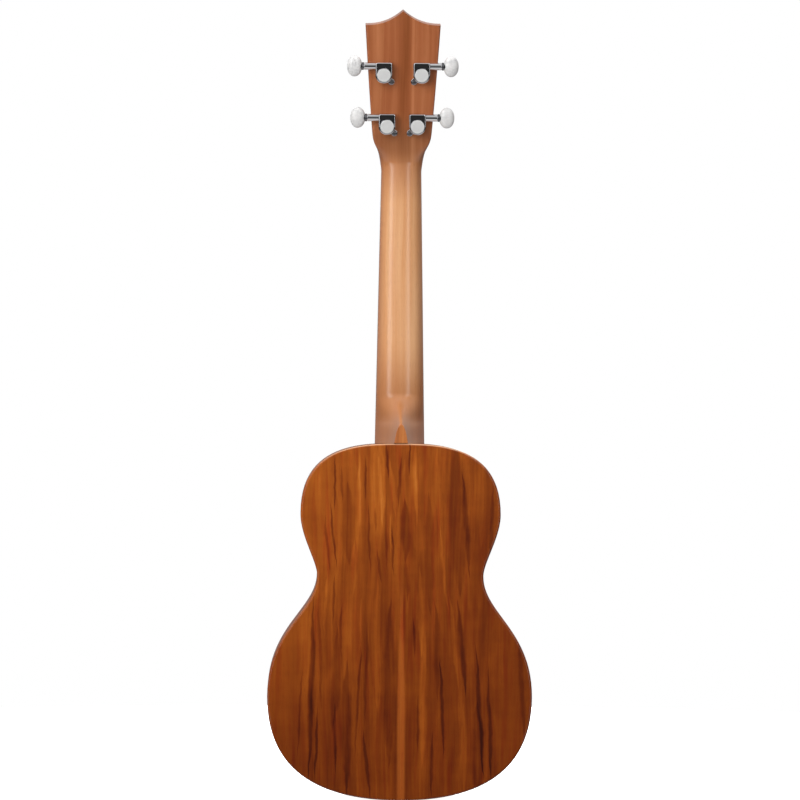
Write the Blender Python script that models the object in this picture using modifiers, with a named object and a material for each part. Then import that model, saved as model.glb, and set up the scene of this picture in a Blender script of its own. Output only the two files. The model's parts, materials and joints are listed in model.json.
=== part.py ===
"""Tenor ukulele: a hollow body, neck, fretboard, bridge, four strings and four sealed worm-gear tuners.

Frame: +Z runs up the neck from the nut, the soundboard faces -Y, the back faces +Y, and X = 0 is the
centre plane. The origin is at the nut's lower edge, in the plane of the soundboard's face. Lengths are in
millimetres.
"""
import bpy
import bmesh
import math
from mathutils import Matrix, Vector

MM = 0.001
NAME = "ukulele"

# Main sizes
SCALE = 432.0            # nut to saddle
JOIN_Z = -239.6          # where the neck meets the body, at the fourteenth fret
NUT_W = 35.0
JOIN_W = 43.3            # neck width at the body
BOARD_END_Z = -286.0     # end of the fretboard over the soundboard
HEEL_CAP_LEN = 17.0      # the heel's end face above the body
HEEL_START = -196.0      # the neck starts to deepen into the heel here
GAP = 0.3                # between pieces that are glued or seated

# Half outline of the body: (x, z, handle towards the neck, handle towards the tail)
OUTLINE = (
    (0.0, JOIN_Z, (0.0, 0.0), (32.0, 0.0)),
    (86.3, -300.4, (0.0, 60.8), (0.0, -19.2)),
    (71.6, -353.3, (0.0, 11.7), (0.0, -31.9)),
    (114.0, -457.2, (0.0, 58.3), (0.0, -61.2)),
    (0.0, -546.3, (73.0, 0.0), (0.0, 0.0)),
)
OUTLINE_STEPS = 9
DEPTH_NECK = 62.0        # body depth at the neck end
DEPTH_TAIL = 72.0
TOP_T = 2.2
BACK_T = 2.0
SIDE_T = 2.0
LINING_W = 5.0
LINING_H = 10.0
HOLE_Z = -324.0
HOLE_R = 33.0
BLOCK_HALF = 25.0
TENON_HALF = 7.0

# Headstock
TILT = math.radians(12.0)
HEAD_Z = 5.6             # where the headstock's face leaves the neck's plane
HEAD_T = 13.0
HEAD_LEN = 134.9

# Fretboard
BOARD_T = 5.0
FRET_H = 1.0
FRET_W = 2.0
FRETS = 18

# Bridge: a low base with a ridge for the saddle and a block for the strings' ties
BRIDGE_HALF = 46.0
BRIDGE_FRONT = -428.0
BRIDGE_REAR = -453.0
BRIDGE_BASE = -3.3
RIDGE_HALF = 31.0
SADDLE_HALF = 29.8
SADDLE_T = 2.4
TIE_HOLE_Y = -5.2        # height of the holes through the tie block
TIE_HOLE_R = 0.85

# Strings: name, x at the nut, x at the saddle, radius
STRINGS = (
    ("g", -13.2, -20.4, 0.37),
    ("c", -4.4, -6.8, 0.495),
    ("e", 4.4, 6.8, 0.405),
    ("a", 13.2, 20.4, 0.33),
)
NUT_STRING_Y = -6.9      # underside of the strings at the nut
SADDLE_STRING_Y = -10.95 # underside of the strings at the saddle
SADDLE_Z = -433.5

# Tuners: name, x and distance up the headstock of the post
TUNERS = (
    ("g", -13.25, 35.0),
    ("c", -16.4, 80.0),
    ("e", 16.4, 80.0),
    ("a", 13.25, 35.0),
)
TEETH = 14
MODULE = 0.78
WORM_OFF = 7.4           # centre distance of worm and gear
WORM_H = 4.3             # height of the worm's axis over the headstock's back
GEAR_PITCH_R = TEETH * MODULE / 2
WORM_PITCH_R = WORM_OFF - GEAR_PITCH_R
LEAD = math.pi * MODULE
TOOTH = 0.37             # share of the pitch taken by a tooth or a thread
THREAD_TURNS = 3
TUBE_END = 17.3
BUTTON_X = 25.5

MATERIALS = {
    "neck_wood": ((0.55, 0.27, 0.12), 0.28, 0.0),
    "cap_wood": ((0.52, 0.22, 0.06), 0.30, 0.0),
    "body_wood": ((0.33, 0.11, 0.035), 0.18, 0.0),
    "top_wood": ((0.50, 0.24, 0.09), 0.22, 0.0),
    "inner_wood": ((0.62, 0.45, 0.27), 0.70, 0.0),
    "dark_wood": ((0.055, 0.03, 0.022), 0.45, 0.0),
    "bone": ((0.86, 0.81, 0.70), 0.35, 0.0),
    "nylon": ((0.82, 0.80, 0.74), 0.30, 0.0),
    "chrome": ((0.80, 0.80, 0.82), 0.08, 1.0),
    "satin_steel": ((0.66, 0.66, 0.67), 0.32, 1.0),
    "brass": ((0.78, 0.57, 0.22), 0.25, 1.0),
    "pearl": ((0.88, 0.87, 0.84), 0.22, 0.0),
}

for old in list(bpy.data.objects):
    bpy.data.objects.remove(old, do_unlink=True)

parts = bpy.data.collections.new(NAME)
bpy.context.scene.collection.children.link(parts)
tools = bpy.data.collections.new(NAME + "_cutters")
bpy.context.scene.collection.children.link(tools)


# ---------------------------------------------------------------- helpers

def material(slot):
    """Return the plain Principled material of one finish."""
    found = bpy.data.materials.get(slot)
    if found:
        return found
    colour, rough, metal = MATERIALS[slot]
    made = bpy.data.materials.new(slot)
    made.use_nodes = True
    shader = made.node_tree.nodes["Principled BSDF"]
    shader.inputs["Base Color"].default_value = (*colour, 1.0)
    shader.inputs["Roughness"].default_value = rough
    shader.inputs["Metallic"].default_value = metal
    return made


def add(name, mesh, slot, parent=None, smooth=False, cutter=False):
    """Put a mesh in the scene as a named piece, or as a hidden cutter."""
    mesh.name = name
    if smooth:
        mesh.shade_smooth()
    else:
        mesh.shade_flat()
    piece = bpy.data.objects.new(name, mesh)
    if cutter:
        tools.objects.link(piece)
        piece.hide_render = True
        piece.display_type = "WIRE"
    else:
        parts.objects.link(piece)
        mesh.materials.append(material(slot))
    if parent:
        piece.parent = parent
    return piece


def empty(name, location, rotation=(0, 0, 0), parent=None):
    """Add an empty that carries other pieces; location in millimetres."""
    frame = bpy.data.objects.new(name, None)
    frame.empty_display_size = 0.01
    parts.objects.link(frame)
    frame.location = Vector(location) * MM
    frame.rotation_euler = rotation
    frame.parent = parent
    return frame


def weld(bm):
    bmesh.ops.remove_doubles(bm, verts=bm.verts, dist=0.000001)
    bmesh.ops.recalc_face_normals(bm, faces=bm.faces)


def finish(bm, name="shape"):
    """Scale a millimetre bmesh to metres and return it as a mesh."""
    bmesh.ops.scale(bm, vec=(MM, MM, MM), verts=bm.verts)
    weld(bm)
    mesh = bpy.data.meshes.new(name)
    bm.to_mesh(mesh)
    bm.free()
    return mesh


def box(low, high):
    """Return a box mesh between two corners."""
    bm = bmesh.new()
    size = Vector(high) - Vector(low)
    middle = (Vector(high) + Vector(low)) / 2
    bmesh.ops.create_cube(bm, size=1.0, matrix=Matrix.Translation(middle) @ Matrix.Diagonal((*size, 1.0)))
    return finish(bm)


def rod(radius, start, end, steps=24):
    """Return a cylinder mesh from one point to another."""
    bm = bmesh.new()
    a = Vector(start)
    b = Vector(end)
    turn = (b - a).to_track_quat("Z", "Y").to_matrix().to_4x4()
    place = Matrix.Translation((a + b) / 2) @ turn
    bmesh.ops.create_cone(bm, cap_ends=True, segments=steps, radius1=radius, radius2=radius,
                          depth=(b - a).length, matrix=place)
    return finish(bm)


def turned(name, profile, slot, parent, steps=24, smooth=False):
    """Add a piece turned about its own +Z from (radius, z) points that run from top to bottom."""
    mesh = bpy.data.meshes.new(name)
    mesh.from_pydata([(r * MM, 0.0, z * MM) for r, z in profile],
                     [(i, i + 1) for i in range(len(profile) - 1)], [])
    piece = add(name, mesh, slot, parent)
    screw = piece.modifiers.new("screw", "SCREW")
    screw.steps = steps
    screw.render_steps = steps
    screw.use_merge_vertices = True
    screw.merge_threshold = 0.00001
    screw.use_smooth_shade = smooth
    return piece


def plate(points, y_low, y_high):
    """Return a flat outline of (x, z) points, filled and extruded between two Y planes."""
    curve = bpy.data.curves.new("plate", "CURVE")
    curve.dimensions = "2D"
    curve.fill_mode = "BOTH"
    curve.extrude = (y_high - y_low) / 2 * MM
    line = curve.splines.new("POLY")
    line.points.add(len(points) - 1)
    for point, (x, z) in zip(line.points, points):
        point.co = (x * MM, z * MM, 0.0, 1.0)
    line.use_cyclic_u = True
    place = Matrix.Translation((0.0, (y_low + y_high) / 2 * MM, 0.0)) @ Matrix.Rotation(math.pi / 2, 4, "X")
    return from_curve(curve, place)


def cord(name, points, radius, slot):
    """Add a tube along a line of points, as a bevelled curve with filled ends."""
    curve = bpy.data.curves.new(name, "CURVE")
    curve.dimensions = "3D"
    curve.bevel_depth = radius * MM
    curve.bevel_resolution = 1
    curve.use_fill_caps = True
    line = curve.splines.new("POLY")
    line.points.add(len(points) - 1)
    for point, place in zip(line.points, points):
        point.co = (*(Vector(place) * MM), 1.0)
    curve.materials.append(material(slot))
    piece = bpy.data.objects.new(name, curve)
    parts.objects.link(piece)
    return piece


def from_curve(curve, place):
    """Evaluate a curve as a welded mesh in place, and remove the curve."""
    holder = bpy.data.objects.new("holder", curve)
    tools.objects.link(holder)
    depsgraph = bpy.context.evaluated_depsgraph_get()
    mesh = bpy.data.meshes.new_from_object(holder.evaluated_get(depsgraph))
    bpy.data.objects.remove(holder, do_unlink=True)
    bpy.data.curves.remove(curve)
    mesh.transform(place)
    bm = bmesh.new()
    bm.from_mesh(mesh)
    weld(bm)
    bm.to_mesh(mesh)
    bm.free()
    return mesh


def cut(piece, mesh, how="DIFFERENCE", parent=None):
    """Cut, keep or join a piece with a mesh, through a live exact Boolean."""
    cutter = add(piece.name + "_tool_%d" % len(piece.modifiers), mesh, None, parent, cutter=True)
    modifier = piece.modifiers.new("bool_%d" % len(piece.modifiers), "BOOLEAN")
    modifier.operation = how
    modifier.solver = "EXACT"
    modifier.object = cutter
    return cutter


def bevel(piece, width, segments=2, angle=40.0):
    modifier = piece.modifiers.new("bevel", "BEVEL")
    modifier.width = width * MM
    modifier.segments = segments
    modifier.limit_method = "ANGLE"
    modifier.angle_limit = math.radians(angle)


def loft(rings):
    """Return a closed mesh lofted through rings of equal point counts."""
    bm = bmesh.new()
    layers = [[bm.verts.new(p) for p in ring] for ring in rings]
    count = len(rings[0])
    for low, high in zip(layers, layers[1:]):
        for i in range(count):
            j = (i + 1) % count
            bm.faces.new((low[i], low[j], high[j], high[i]))
    bm.faces.new(layers[0])
    bm.faces.new(layers[-1])
    bmesh.ops.remove_doubles(bm, verts=bm.verts, dist=0.0005)
    return finish(bm)


# ---------------------------------------------------------------- body outline

def bezier(a, b, c, d, t):
    s = 1.0 - t
    return tuple(s * s * s * p + 3 * s * s * t * q + 3 * s * t * t * r + t * t * t * w
                 for p, q, r, w in zip(a, b, c, d))


def half_outline(inset=0.0, from_x=0.0, to_x=None):
    """Points down the +X side, moved inwards by inset.

    They run from x = from_x at the neck to x = to_x, or from_x again, at the tail.
    """
    points = []
    for first, last in zip(OUTLINE, OUTLINE[1:]):
        a = first[:2]
        d = last[:2]
        b = (a[0] + first[3][0], a[1] + first[3][1])
        c = (d[0] + last[2][0], d[1] + last[2][1])
        for i in range(OUTLINE_STEPS):
            points.append(bezier(a, b, c, d, i / OUTLINE_STEPS))
    points.append(OUTLINE[-1][:2])
    moved = []
    for i, (x, z) in enumerate(points):
        before = points[max(i - 1, 0)]
        after = points[min(i + 1, len(points) - 1)]
        run = Vector((after[0] - before[0], after[1] - before[1])).normalized()
        if i == 0:
            run = Vector((1.0, 0.0))
        if i == len(points) - 1:
            run = Vector((-1.0, 0.0))
        moved.append((x + run[1] * inset, z - run[0] * inset))
    if from_x <= 0.0:
        return moved
    to_x = from_x if to_x is None else to_x
    middle = len(moved) // 2
    first = next(i for i in range(middle) if moved[i][0] > from_x + 0.2)
    last = next(i for i in range(len(moved) - 1, middle, -1) if moved[i][0] > to_x + 0.2)
    kept = moved[first:last + 1]
    kept.insert(0, slide(moved[first - 1], moved[first], from_x))
    kept.append(slide(moved[last + 1], moved[last], to_x))
    return kept


def slide(a, b, x):
    t = (x - a[0]) / (b[0] - a[0])
    return (x, a[1] + (b[1] - a[1]) * t)


def from_tenon(inset):
    return half_outline(inset, TENON_HALF + GAP, GAP / 2)


def full_outline(inset=0.0):
    right = half_outline(inset)
    left = [(-x, z) for x, z in reversed(right[1:-1])]
    return right + left


def mirror_x(points, side):
    return [(x * side, z) for x, z in points]


def back_y(z):
    """Y of the back's outer face, a plane that leans a little."""
    return DEPTH_NECK + (JOIN_Z - z) / (JOIN_Z - OUTLINE[-1][1]) * (DEPTH_TAIL - DEPTH_NECK)


def lean(mesh, front, back):
    """Lay the front and back layers of an extruded plate on two planes, each given as Y at z."""
    middle = sum(v.co.y for v in mesh.vertices) / len(mesh.vertices)
    for v in mesh.vertices:
        rule = back if v.co.y > middle else front
        v.co.y = rule(v.co.z / MM) * MM
    return mesh


def level(y):
    return lambda z: y


def under_back(depth):
    return lambda z: back_y(z) - depth


# ---------------------------------------------------------------- neck, headstock and heel

def smooth(t):
    t = min(max(t, 0.0), 1.0)
    return t * t * (3 - 2 * t)


def head_width(s):
    """Half width of the headstock at s up its face."""
    table = ((-40.0, 18.0), (-6.0, 17.8), (0.0, 18.1), (5.0, 19.1), (10.0, 20.4), (15.0, 22.4), (20.0, 24.5),
             (24.0, 25.5), (30.0, 26.1), (57.0, 28.2), (92.0, 30.7), (122.0, 32.6), (150.0, 32.8))
    for (a, wa), (b, wb) in zip(table, table[1:]):
        if s <= b:
            return wa + (wb - wa) * (s - a) / (b - a)
    return table[-1][1]


def neck_half(z):
    """Half width of the neck at z."""
    return (NUT_W + (JOIN_W - NUT_W) * min(max(-z / -JOIN_Z, 0.0), 1.12)) / 2


def neck_ring(z, count=9):
    """Cross-section of the neck, heel or headstock at z."""
    front = max(z - HEAD_Z, 0.0) * math.tan(TILT)
    head = smooth((z - 1.0) / 22.0)
    s = (z - HEAD_Z) / math.cos(TILT) + 2.8
    half = neck_half(z) if z < -4.0 else head_width(s) if z > 4.0 else (
        neck_half(z) + (head_width(s) - neck_half(z)) * smooth((z + 4.0) / 8.0))
    depth = neck_depth(z)
    depth = depth + (HEAD_T / math.cos(TILT) - depth) * head
    power = 2.3 + 9.0 * head
    side = []
    for k in range(count + 1):
        u = k / count
        angle = u * math.pi / 2
        x = half * math.cos(angle) ** (2.0 / power) if k < count else 0.0
        y = depth * math.sin(angle) ** (2.0 / power)
        if z < HEEL_START:
            x, y = heel_round(z, half, depth, u)
        side.append((x, y))
    right = [(x, front + y, z) for x, y in side]
    left = [(-x, y, z) for x, y, z in reversed(right[:-1])]
    return right + left


def neck_depth(z):
    return 13.4 + 2.4 * min(max(-z / 220.0, 0.0), 1.0)


def heel_floor(z):
    """Depth of the heel's end face, under its cap."""
    return back_y(z) - 2.0


def heel_ridge(z, depth):
    """How deep the heel's ridge lies at z: it grows past the back, whose plane cuts it to a tongue."""
    tip = JOIN_Z + HEEL_CAP_LEN
    t = min(max((HEEL_START - z) / (HEEL_START - tip), 0.0), 1.0)
    return depth + (heel_floor(z) - depth) * t * t * (3.0 - t) / 2.0 + 2.2 * max(tip - z, 0.0)


def heel_flank(z, half, v):
    """Half width of the heel at z, v of the way in to its ridge."""
    tip = JOIN_Z + HEEL_CAP_LEN
    t = min(max((HEEL_START - z) / (HEEL_START - tip), 0.0), 1.0)
    foot = smooth((tip - z) / HEEL_CAP_LEN)
    blunt = 2.9 * t + 0.5 * foot
    side = (half - blunt) * (1.0 - v ** (2.3 - 1.05 * t)) ** (0.435 + 1.265 * t + 0.7 * foot)
    return side + blunt * math.sqrt(1.0 - v ** 8)


def heel_half(z):
    """Half width of the heel's end face: a tongue that widens towards the body."""
    reach = heel_floor(z) / heel_ridge(z, neck_depth(z))
    return heel_flank(z, neck_half(z), min(reach, 1.0))


def heel_round(z, half, depth, u):
    """Point (x, depth) at u round one side of the heel at z, from 0 in front to 1 on the centre line."""
    ridge = heel_ridge(z, depth)
    reach = min(heel_floor(z) / ridge, 1.0)
    if reach < 1.0 and u > 0.85:
        return heel_flank(z, half, reach) * (1.0 - u) / 0.15, reach * ridge
    if reach < 1.0:
        u = u / 0.85 * math.asin(reach ** 1.15) / (math.pi / 2)
    v = min(math.sin(u * math.pi / 2) ** (1.0 / 1.15), reach)
    return heel_flank(z, half, v), v * ridge


def build_neck():
    heel = [-250.0, JOIN_Z, -235.0, -231.0, -227.5, -225.0, -223.5, -222.2, -220.5, -218.0, -215.0, -211.0,
            -206.0, -200.0, -192.0]
    levels = heel + [-150.0, -90.0, -40.0, -12.0, -4.0, 0.0, HEAD_Z, 9.0, 13.0, 17.0, 22.0, 27.0, 32.0, 60.0,
                     95.0, 124.0, 142.0]
    neck = add("neck", loft([neck_ring(z) for z in levels]), "neck_wood", smooth=True)
    # The heel ends on the body's outline, and a tenon runs on into the neck block
    cut(neck, plate(full_outline(-GAP), -4.0, 90.0))
    cut(neck, box((-TENON_HALF, 6.0, JOIN_Z - 14.0), (TENON_HALF, 44.0, JOIN_Z + 6.0)), "UNION")
    # The crown: three points joined by hollow curves
    crown = []
    for i in range(13):
        x = -34.5 + 69.0 * i / 12
        a = abs(x) / 32.6
        crown.append((x, crown_s(a)))
    outer = [(36.0, crown[-1][1]), (36.0, HEAD_LEN + 30.0), (-36.0, HEAD_LEN + 30.0), (-36.0, crown[0][1])]
    top = plate(crown + outer, -6.0, HEAD_T + 6.0)
    cut(neck, top, parent=head)
    for name, x, s in TUNERS:
        cut(neck, rod(4.35, (x, -2.0, s), (x, HEAD_T + 2.0, s), 20), parent=head)
        side = 1.0 if x > 0 else -1.0
        ex, es = ear(x, s, side)
        cut(neck, rod(1.15, (ex, HEAD_T - 8.5, es), (ex, HEAD_T + 1.0, es), 10), parent=head)
    return neck


def crown_s(a):
    """Height of the crown's edge at a, from 0 at the middle to 1 at a corner."""
    a = min(a, 1.0)
    return 122.6 + 12.3 * (1.0 - a) ** 2.35


def ear(x, s, side):
    """Place of a tuner's fixing screw: down and towards the middle."""
    return x - side * 6.65, s - 6.65


# ---------------------------------------------------------------- tuner pieces
# Each tuner's frame stands on the headstock's back at the post's axis: +Z away from the wood, +Y up the
# headstock. out is +1 where the button lies towards the frame's +X and -1 where it lies towards -X.
# The knob's frame lies on the worm's axis with +Z outwards, to the button.

def housing_outline():
    points = []
    for i in range(17):
        angle = math.pi + math.pi * i / 16
        points.append((7.3 * math.cos(angle), 7.3 * math.sin(angle)))
    for cx, start in ((5.5, 0.0), (-5.5, math.pi / 2)):
        for i in range(4):
            angle = start + math.pi / 2 * i / 3
            points.append((cx + 1.8 * math.cos(angle), 9.1 + 1.8 * math.sin(angle)))
    return points


def ear_outline(out):
    """A tongue from under the housing out to the screw."""
    points = []
    for i in range(9):
        angle = math.radians(135.0) + math.pi * i / 8
        points.append((-6.65 + 2.7 * math.cos(angle), -6.65 + 2.7 * math.sin(angle)))
    points += [(0.0, -3.8), (-3.8, 0.0)]
    return [(x * out, y) for x, y in points]


def prism(points, low, high):
    """Return an outline of (x, y) points raised from one z to another."""
    bm = bmesh.new()
    floor = bm.faces.new([bm.verts.new((x, y, low)) for x, y in points])
    raised = bmesh.ops.extrude_face_region(bm, geom=[floor])
    verts = [v for v in raised["geom"] if isinstance(v, bmesh.types.BMVert)]
    bmesh.ops.translate(bm, vec=(0, 0, high - low), verts=verts)
    return finish(bm)


def build_housing(name, frame, knob, out):
    body = add(name + "_housing", prism(housing_outline(), GAP, 8.4), "chrome", frame)
    bevel(body, 0.6, 1, 60.0)
    cut(body, prism(ear_outline(out), GAP, 1.9), "UNION", frame)
    cut(body, rod(3.15, (0, 0, 4.0), (0, 0, TUBE_END), 12), "UNION", knob)
    # Screw hole, gear chamber, bearing, cap seat, worm chamber and the tube's bore
    cut(body, rod(1.3, (-6.65 * out, -6.65, -1.0), (-6.65 * out, -6.65, 4.0), 8), parent=frame)
    cut(body, rod(6.45, (0, 0, -1.0), (0, 0, 6.2), 20), parent=frame)
    cut(body, rod(2.08, (0, 0, 5.0), (0, 0, 9.0), 12), parent=frame)
    cut(body, rod(6.3, (0, 0, 7.4), (0, 0, 9.0), 20), parent=frame)
    cut(body, rod(2.8, (0, 0, -8.0), (0, 0, 6.3), 16), parent=knob)
    cut(body, rod(2.04, (0, 0, 5.0), (0, 0, 18.0), 12), parent=knob)
    return body


def thread_strip(turns, start, steps=12):
    """One right-hand thread about +Z with sloping flanks, its foot set a little into the core."""
    rings = []
    root = WORM_PITCH_R - 1.25 * MODULE
    tip = WORM_PITCH_R + MODULE * 0.9
    foot = LEAD * 0.30
    for i in range(turns * steps + 1):
        angle = math.tau * i / steps
        z = start + LEAD * i / steps
        high = tip if 0 < i < turns * steps else root + 0.15
        crest = LEAD * TOOTH * 0.26
        profile = ((root - 0.25, -foot), (high, -crest), (high, crest), (root - 0.25, foot))
        rings.append([(r * math.cos(angle), r * math.sin(angle), z + dz) for r, dz in profile])
    return loft(rings)


def build_worm(name, knob):
    root = WORM_PITCH_R - 1.25 * MODULE
    profile = (
        (0.0, 25.0), (1.6, 25.0), (1.6, 17.6), (1.94, 17.6), (1.94, 6.15), (2.7, 6.15),
        (2.7, 5.4), (root, 5.4), (root, -6.0), (2.7, -6.0), (2.7, -7.2), (0.0, -7.2),
    )
    shaft = turned(name + "_worm_shaft", profile, "satin_steel", knob, 12)
    cut(shaft, thread_strip(THREAD_TURNS, -LEAD * THREAD_TURNS / 2), "UNION", knob)
    return shaft


def build_button(name, knob):
    bm = bmesh.new()
    bmesh.ops.create_uvsphere(bm, u_segments=16, v_segments=8, radius=1.0)
    for v in bm.verts:
        v.co = (v.co.x * 3.9, v.co.y * 8.8, v.co.z * 6.5)
    bmesh.ops.translate(bm, vec=(0.0, 0.0, BUTTON_X), verts=bm.verts)
    grip = add(name + "_button", finish(bm), "pearl", knob, smooth=True)
    cut(grip, rod(2.4, (0, 0, 18.6), (0, 0, 22.0), 12), "UNION", knob)
    cut(grip, rod(3.4, (0, 0, 17.6), (0, 0, 18.9), 12), "UNION", knob)
    cut(grip, rod(1.68, (0, 0, 17.0), (0, 0, 25.3), 12), parent=knob)
    return grip


def build_gear(name, frame, out):
    """Slanted teeth in mesh with the worm: a gap between teeth holds the thread at rest."""
    low, high = 2.8, 5.8
    pitch = math.tau / TEETH
    tip_r = GEAR_PITCH_R + MODULE * 0.9
    root_r = GEAR_PITCH_R - 1.2 * MODULE
    shift = (high - low) / 2 * LEAD / (math.tau * WORM_PITCH_R) / GEAR_PITCH_R
    phase = -0.5 - out * (0.75 - THREAD_TURNS / 2)
    rings = []
    for z, turn in ((low, -shift), (high, shift)):
        ring = []
        for i in range(TEETH):
            middle = math.pi / 2 + pitch * (i + phase) + turn
            for r, share in ((root_r, -0.29), (tip_r, -0.10), (tip_r, 0.10), (root_r, 0.29)):
                angle = middle + pitch * share
                ring.append((r * math.cos(angle), r * math.sin(angle), z))
        rings.append(ring)
    gear = add(name + "_gear", loft(rings), "brass", frame)
    cut(gear, rod(2.56, (0, 0, 1.0), (0, 0, 8.0), 14), parent=frame)
    return gear


def build_post(name, frame):
    profile = (
        (0.0, 6.9), (1.99, 6.9), (1.99, 6.0), (2.5, 6.0), (2.5, 2.5), (3.0, 2.5), (3.0, -17.2),
        (2.4, -17.9), (2.4, -22.5), (3.0, -23.2), (3.0, -25.0), (2.5, -25.5), (0.0, -25.5),
    )
    post = turned(name + "_post", profile, "chrome", frame, 14)
    cut(post, rod(0.85, (-4.0, 0, -21.6), (4.0, 0, -21.6), 8), parent=frame)
    return post


def build_bushing(name, frame):
    body = add(name + "_bushing", rod(4.2, (0, 0, -14.0), (0, 0, -6.0), 16), "chrome", frame)
    cut(body, rod(6.0, (0, 0, -14.0), (0, 0, -13.3), 20), "UNION", frame)
    cut(body, rod(5.6, (0, 0, -16.2), (0, 0, -13.9), 6), "UNION", frame)
    cut(body, rod(3.07, (0, 0, -18.0), (0, 0, -5.0), 16), parent=frame)
    return body


def build_cap(name, frame):
    cap = add(name + "_cap", rod(6.15, (0, 0, 7.7), (0, 0, 8.8), 20), "satin_steel", frame)
    bevel(cap, 0.25, 1, 60.0)
    return cap


def build_screw(name, seat):
    top = 1.9 + GAP
    profile = (
        (0.0, top + 1.2), (0.9, top + 1.1), (1.6, top + 0.6), (1.9, top),
        (1.0, top), (1.0, -7.6), (0.0, -8.2),
    )
    screw = turned(name + "_screw", profile, "satin_steel", seat, 10)
    cut(screw, box((-1.3, -0.22, top + 0.7), (1.3, 0.22, top + 2.0)), parent=seat)
    cut(screw, box((-0.22, -1.3, top + 0.7), (0.22, 1.3, top + 2.0)), parent=seat)
    return screw


# ---------------------------------------------------------------- strings

def head_point(x, n, s):
    """A point on the headstock, n behind its face and s up it, in the main frame."""
    return (x, s * math.sin(TILT) + n * math.cos(TILT), HEAD_Z + s * math.cos(TILT) - n * math.sin(TILT))


def string_route(x_nut, x_saddle, radius, post_x, post_s):
    """From the tie block, over the saddle and nut, to two and a half turns round the post."""
    side = 1.0 if post_x > 0 else -1.0
    r = radius
    line = []
    # Tied end on top of the tie block, back over its edge and forward through its hole: (aside, y, z)
    tied = (
        (2.2, -8.3 - r, -447.0), (2.2, -8.3 - r, -451.6), (1.98, -7.6 - r * 0.5, -453.0 - r),
        (1.1, -6.3, -453.6 - r), (0.33, -5.4, -453.4 - r), (0.0, TIE_HOLE_Y, -452.6),
        (0.0, TIE_HOLE_Y, -443.0), (0.0, -5.6, -441.6),
    )
    for aside, y, z in tied:
        line.append((x_saddle + aside, y, z))
    line.append((x_saddle, SADDLE_STRING_Y - r + 0.25, SADDLE_Z - 1.7))
    line.append((x_saddle, SADDLE_STRING_Y - r - 0.05, SADDLE_Z - 0.6))
    line.append((x_saddle, SADDLE_STRING_Y - r - 0.05, SADDLE_Z + 0.6))
    line.append((x_nut, NUT_STRING_Y - r, -0.4))
    line.append((x_nut, NUT_STRING_Y - r, 4.6))
    # Round the post, from the side nearer the middle, and up it turn by turn
    coil = 2.4 + 0.26 + r
    pitch = 2 * r + 0.12
    steps = 12
    turns = 2.5
    first_n = -5.75
    for i in range(int(turns * steps) + 1):
        angle = math.tau * i / steps
        n = first_n - pitch * i / steps
        dx = -side * math.cos(angle) * coil
        ds = math.sin(angle) * coil
        line.append(head_point(post_x + dx, n, post_s + ds))
    return line


# ---------------------------------------------------------------- build

head = empty("headstock_frame", (0.0, 0.0, HEAD_Z), (-TILT, 0.0, 0.0))
neck = build_neck()

# Heel cap, level with the back
tongue = []
for above_join in (0.55, 4.0, 8.0, 12.0, 14.0, 15.6, 16.6):
    z = JOIN_Z + above_join
    tongue.append((heel_half(z) + 0.1, z))
tongue += [(-x, z) for x, z in reversed(tongue)]
add("heel_cap", lean(plate(tongue, 60.0, 62.0), under_back(2.0 - GAP), under_back(0.0)), "cap_wood")

# Fretboard with its frets
fret_z = [-SCALE * (1.0 - 2.0 ** (-k / 12.0)) for k in range(1, FRETS + 1)]
side_view = [(-GAP, -GAP), (-GAP, BOARD_END_Z), (-GAP - BOARD_T, BOARD_END_Z)]
for z in reversed(fret_z):
    top = -GAP - BOARD_T
    side_view += [(top, z - FRET_W / 2), (top - FRET_H * 0.8, z - FRET_W * 0.3), (top - FRET_H, z),
                  (top - FRET_H * 0.8, z + FRET_W * 0.3), (top, z + FRET_W / 2)]
side_view.append((-GAP - BOARD_T, -GAP))
# Drawn in the YZ plane, extruded across, then narrowed to the neck's taper
board = plate([(y, z) for y, z in side_view], -1.0, 1.0)
board.transform(Matrix.Rotation(math.pi / 2, 4, "Z"))
for v in board.vertices:
    v.co.x = math.copysign(neck_half(v.co.z / MM), v.co.x) * MM
add("fretboard", board, "dark_wood")

nut = add("nut", box((-NUT_W / 2, -7.9, 0.0), (NUT_W / 2, -GAP, 5.0)), "bone")
for name, x_nut, x_saddle, r in STRINGS:
    cut(nut, rod(r + 0.14, (x_nut, NUT_STRING_Y - r, -2.0), (x_nut, NUT_STRING_Y - r, 7.0), 10))

# Soundboard, back halves, sides and linings
soundboard = add("soundboard", plate(full_outline(), 0.0, TOP_T), "top_wood")
cut(soundboard, rod(HOLE_R, (0, -5.0, HOLE_Z), (0, 8.0, HOLE_Z), 40))
inner = SIDE_T + GAP
for label, side in (("bass", -1.0), ("treble", 1.0)):
    half = half_outline(0.0, GAP / 2)
    back = lean(plate(mirror_x(half, side), 60.0, 62.0), under_back(BACK_T), under_back(0.0))
    add("back_" + label, back, "body_wood")
    # The side starts beside the tenon and ends at the tail's centre line
    wall = from_tenon(0.0) + list(reversed(from_tenon(SIDE_T)))
    strip = lean(plate(mirror_x(wall, side), 10.0, 60.0), level(TOP_T + GAP), under_back(BACK_T + GAP))
    add("side_" + label, strip, "body_wood")
    edge = BLOCK_HALF + GAP
    ring = half_outline(inner, edge) + list(reversed(half_outline(inner + LINING_W, edge)))
    front = plate(mirror_x(ring, side), TOP_T + GAP, TOP_T + GAP + LINING_H)
    add("lining_front_" + label, front, "inner_wood")
    rear = lean(plate(mirror_x(ring, side), 40.0, 60.0), under_back(BACK_T + GAP + LINING_H),
                under_back(BACK_T + GAP))
    add("lining_back_" + label, rear, "inner_wood")

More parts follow.
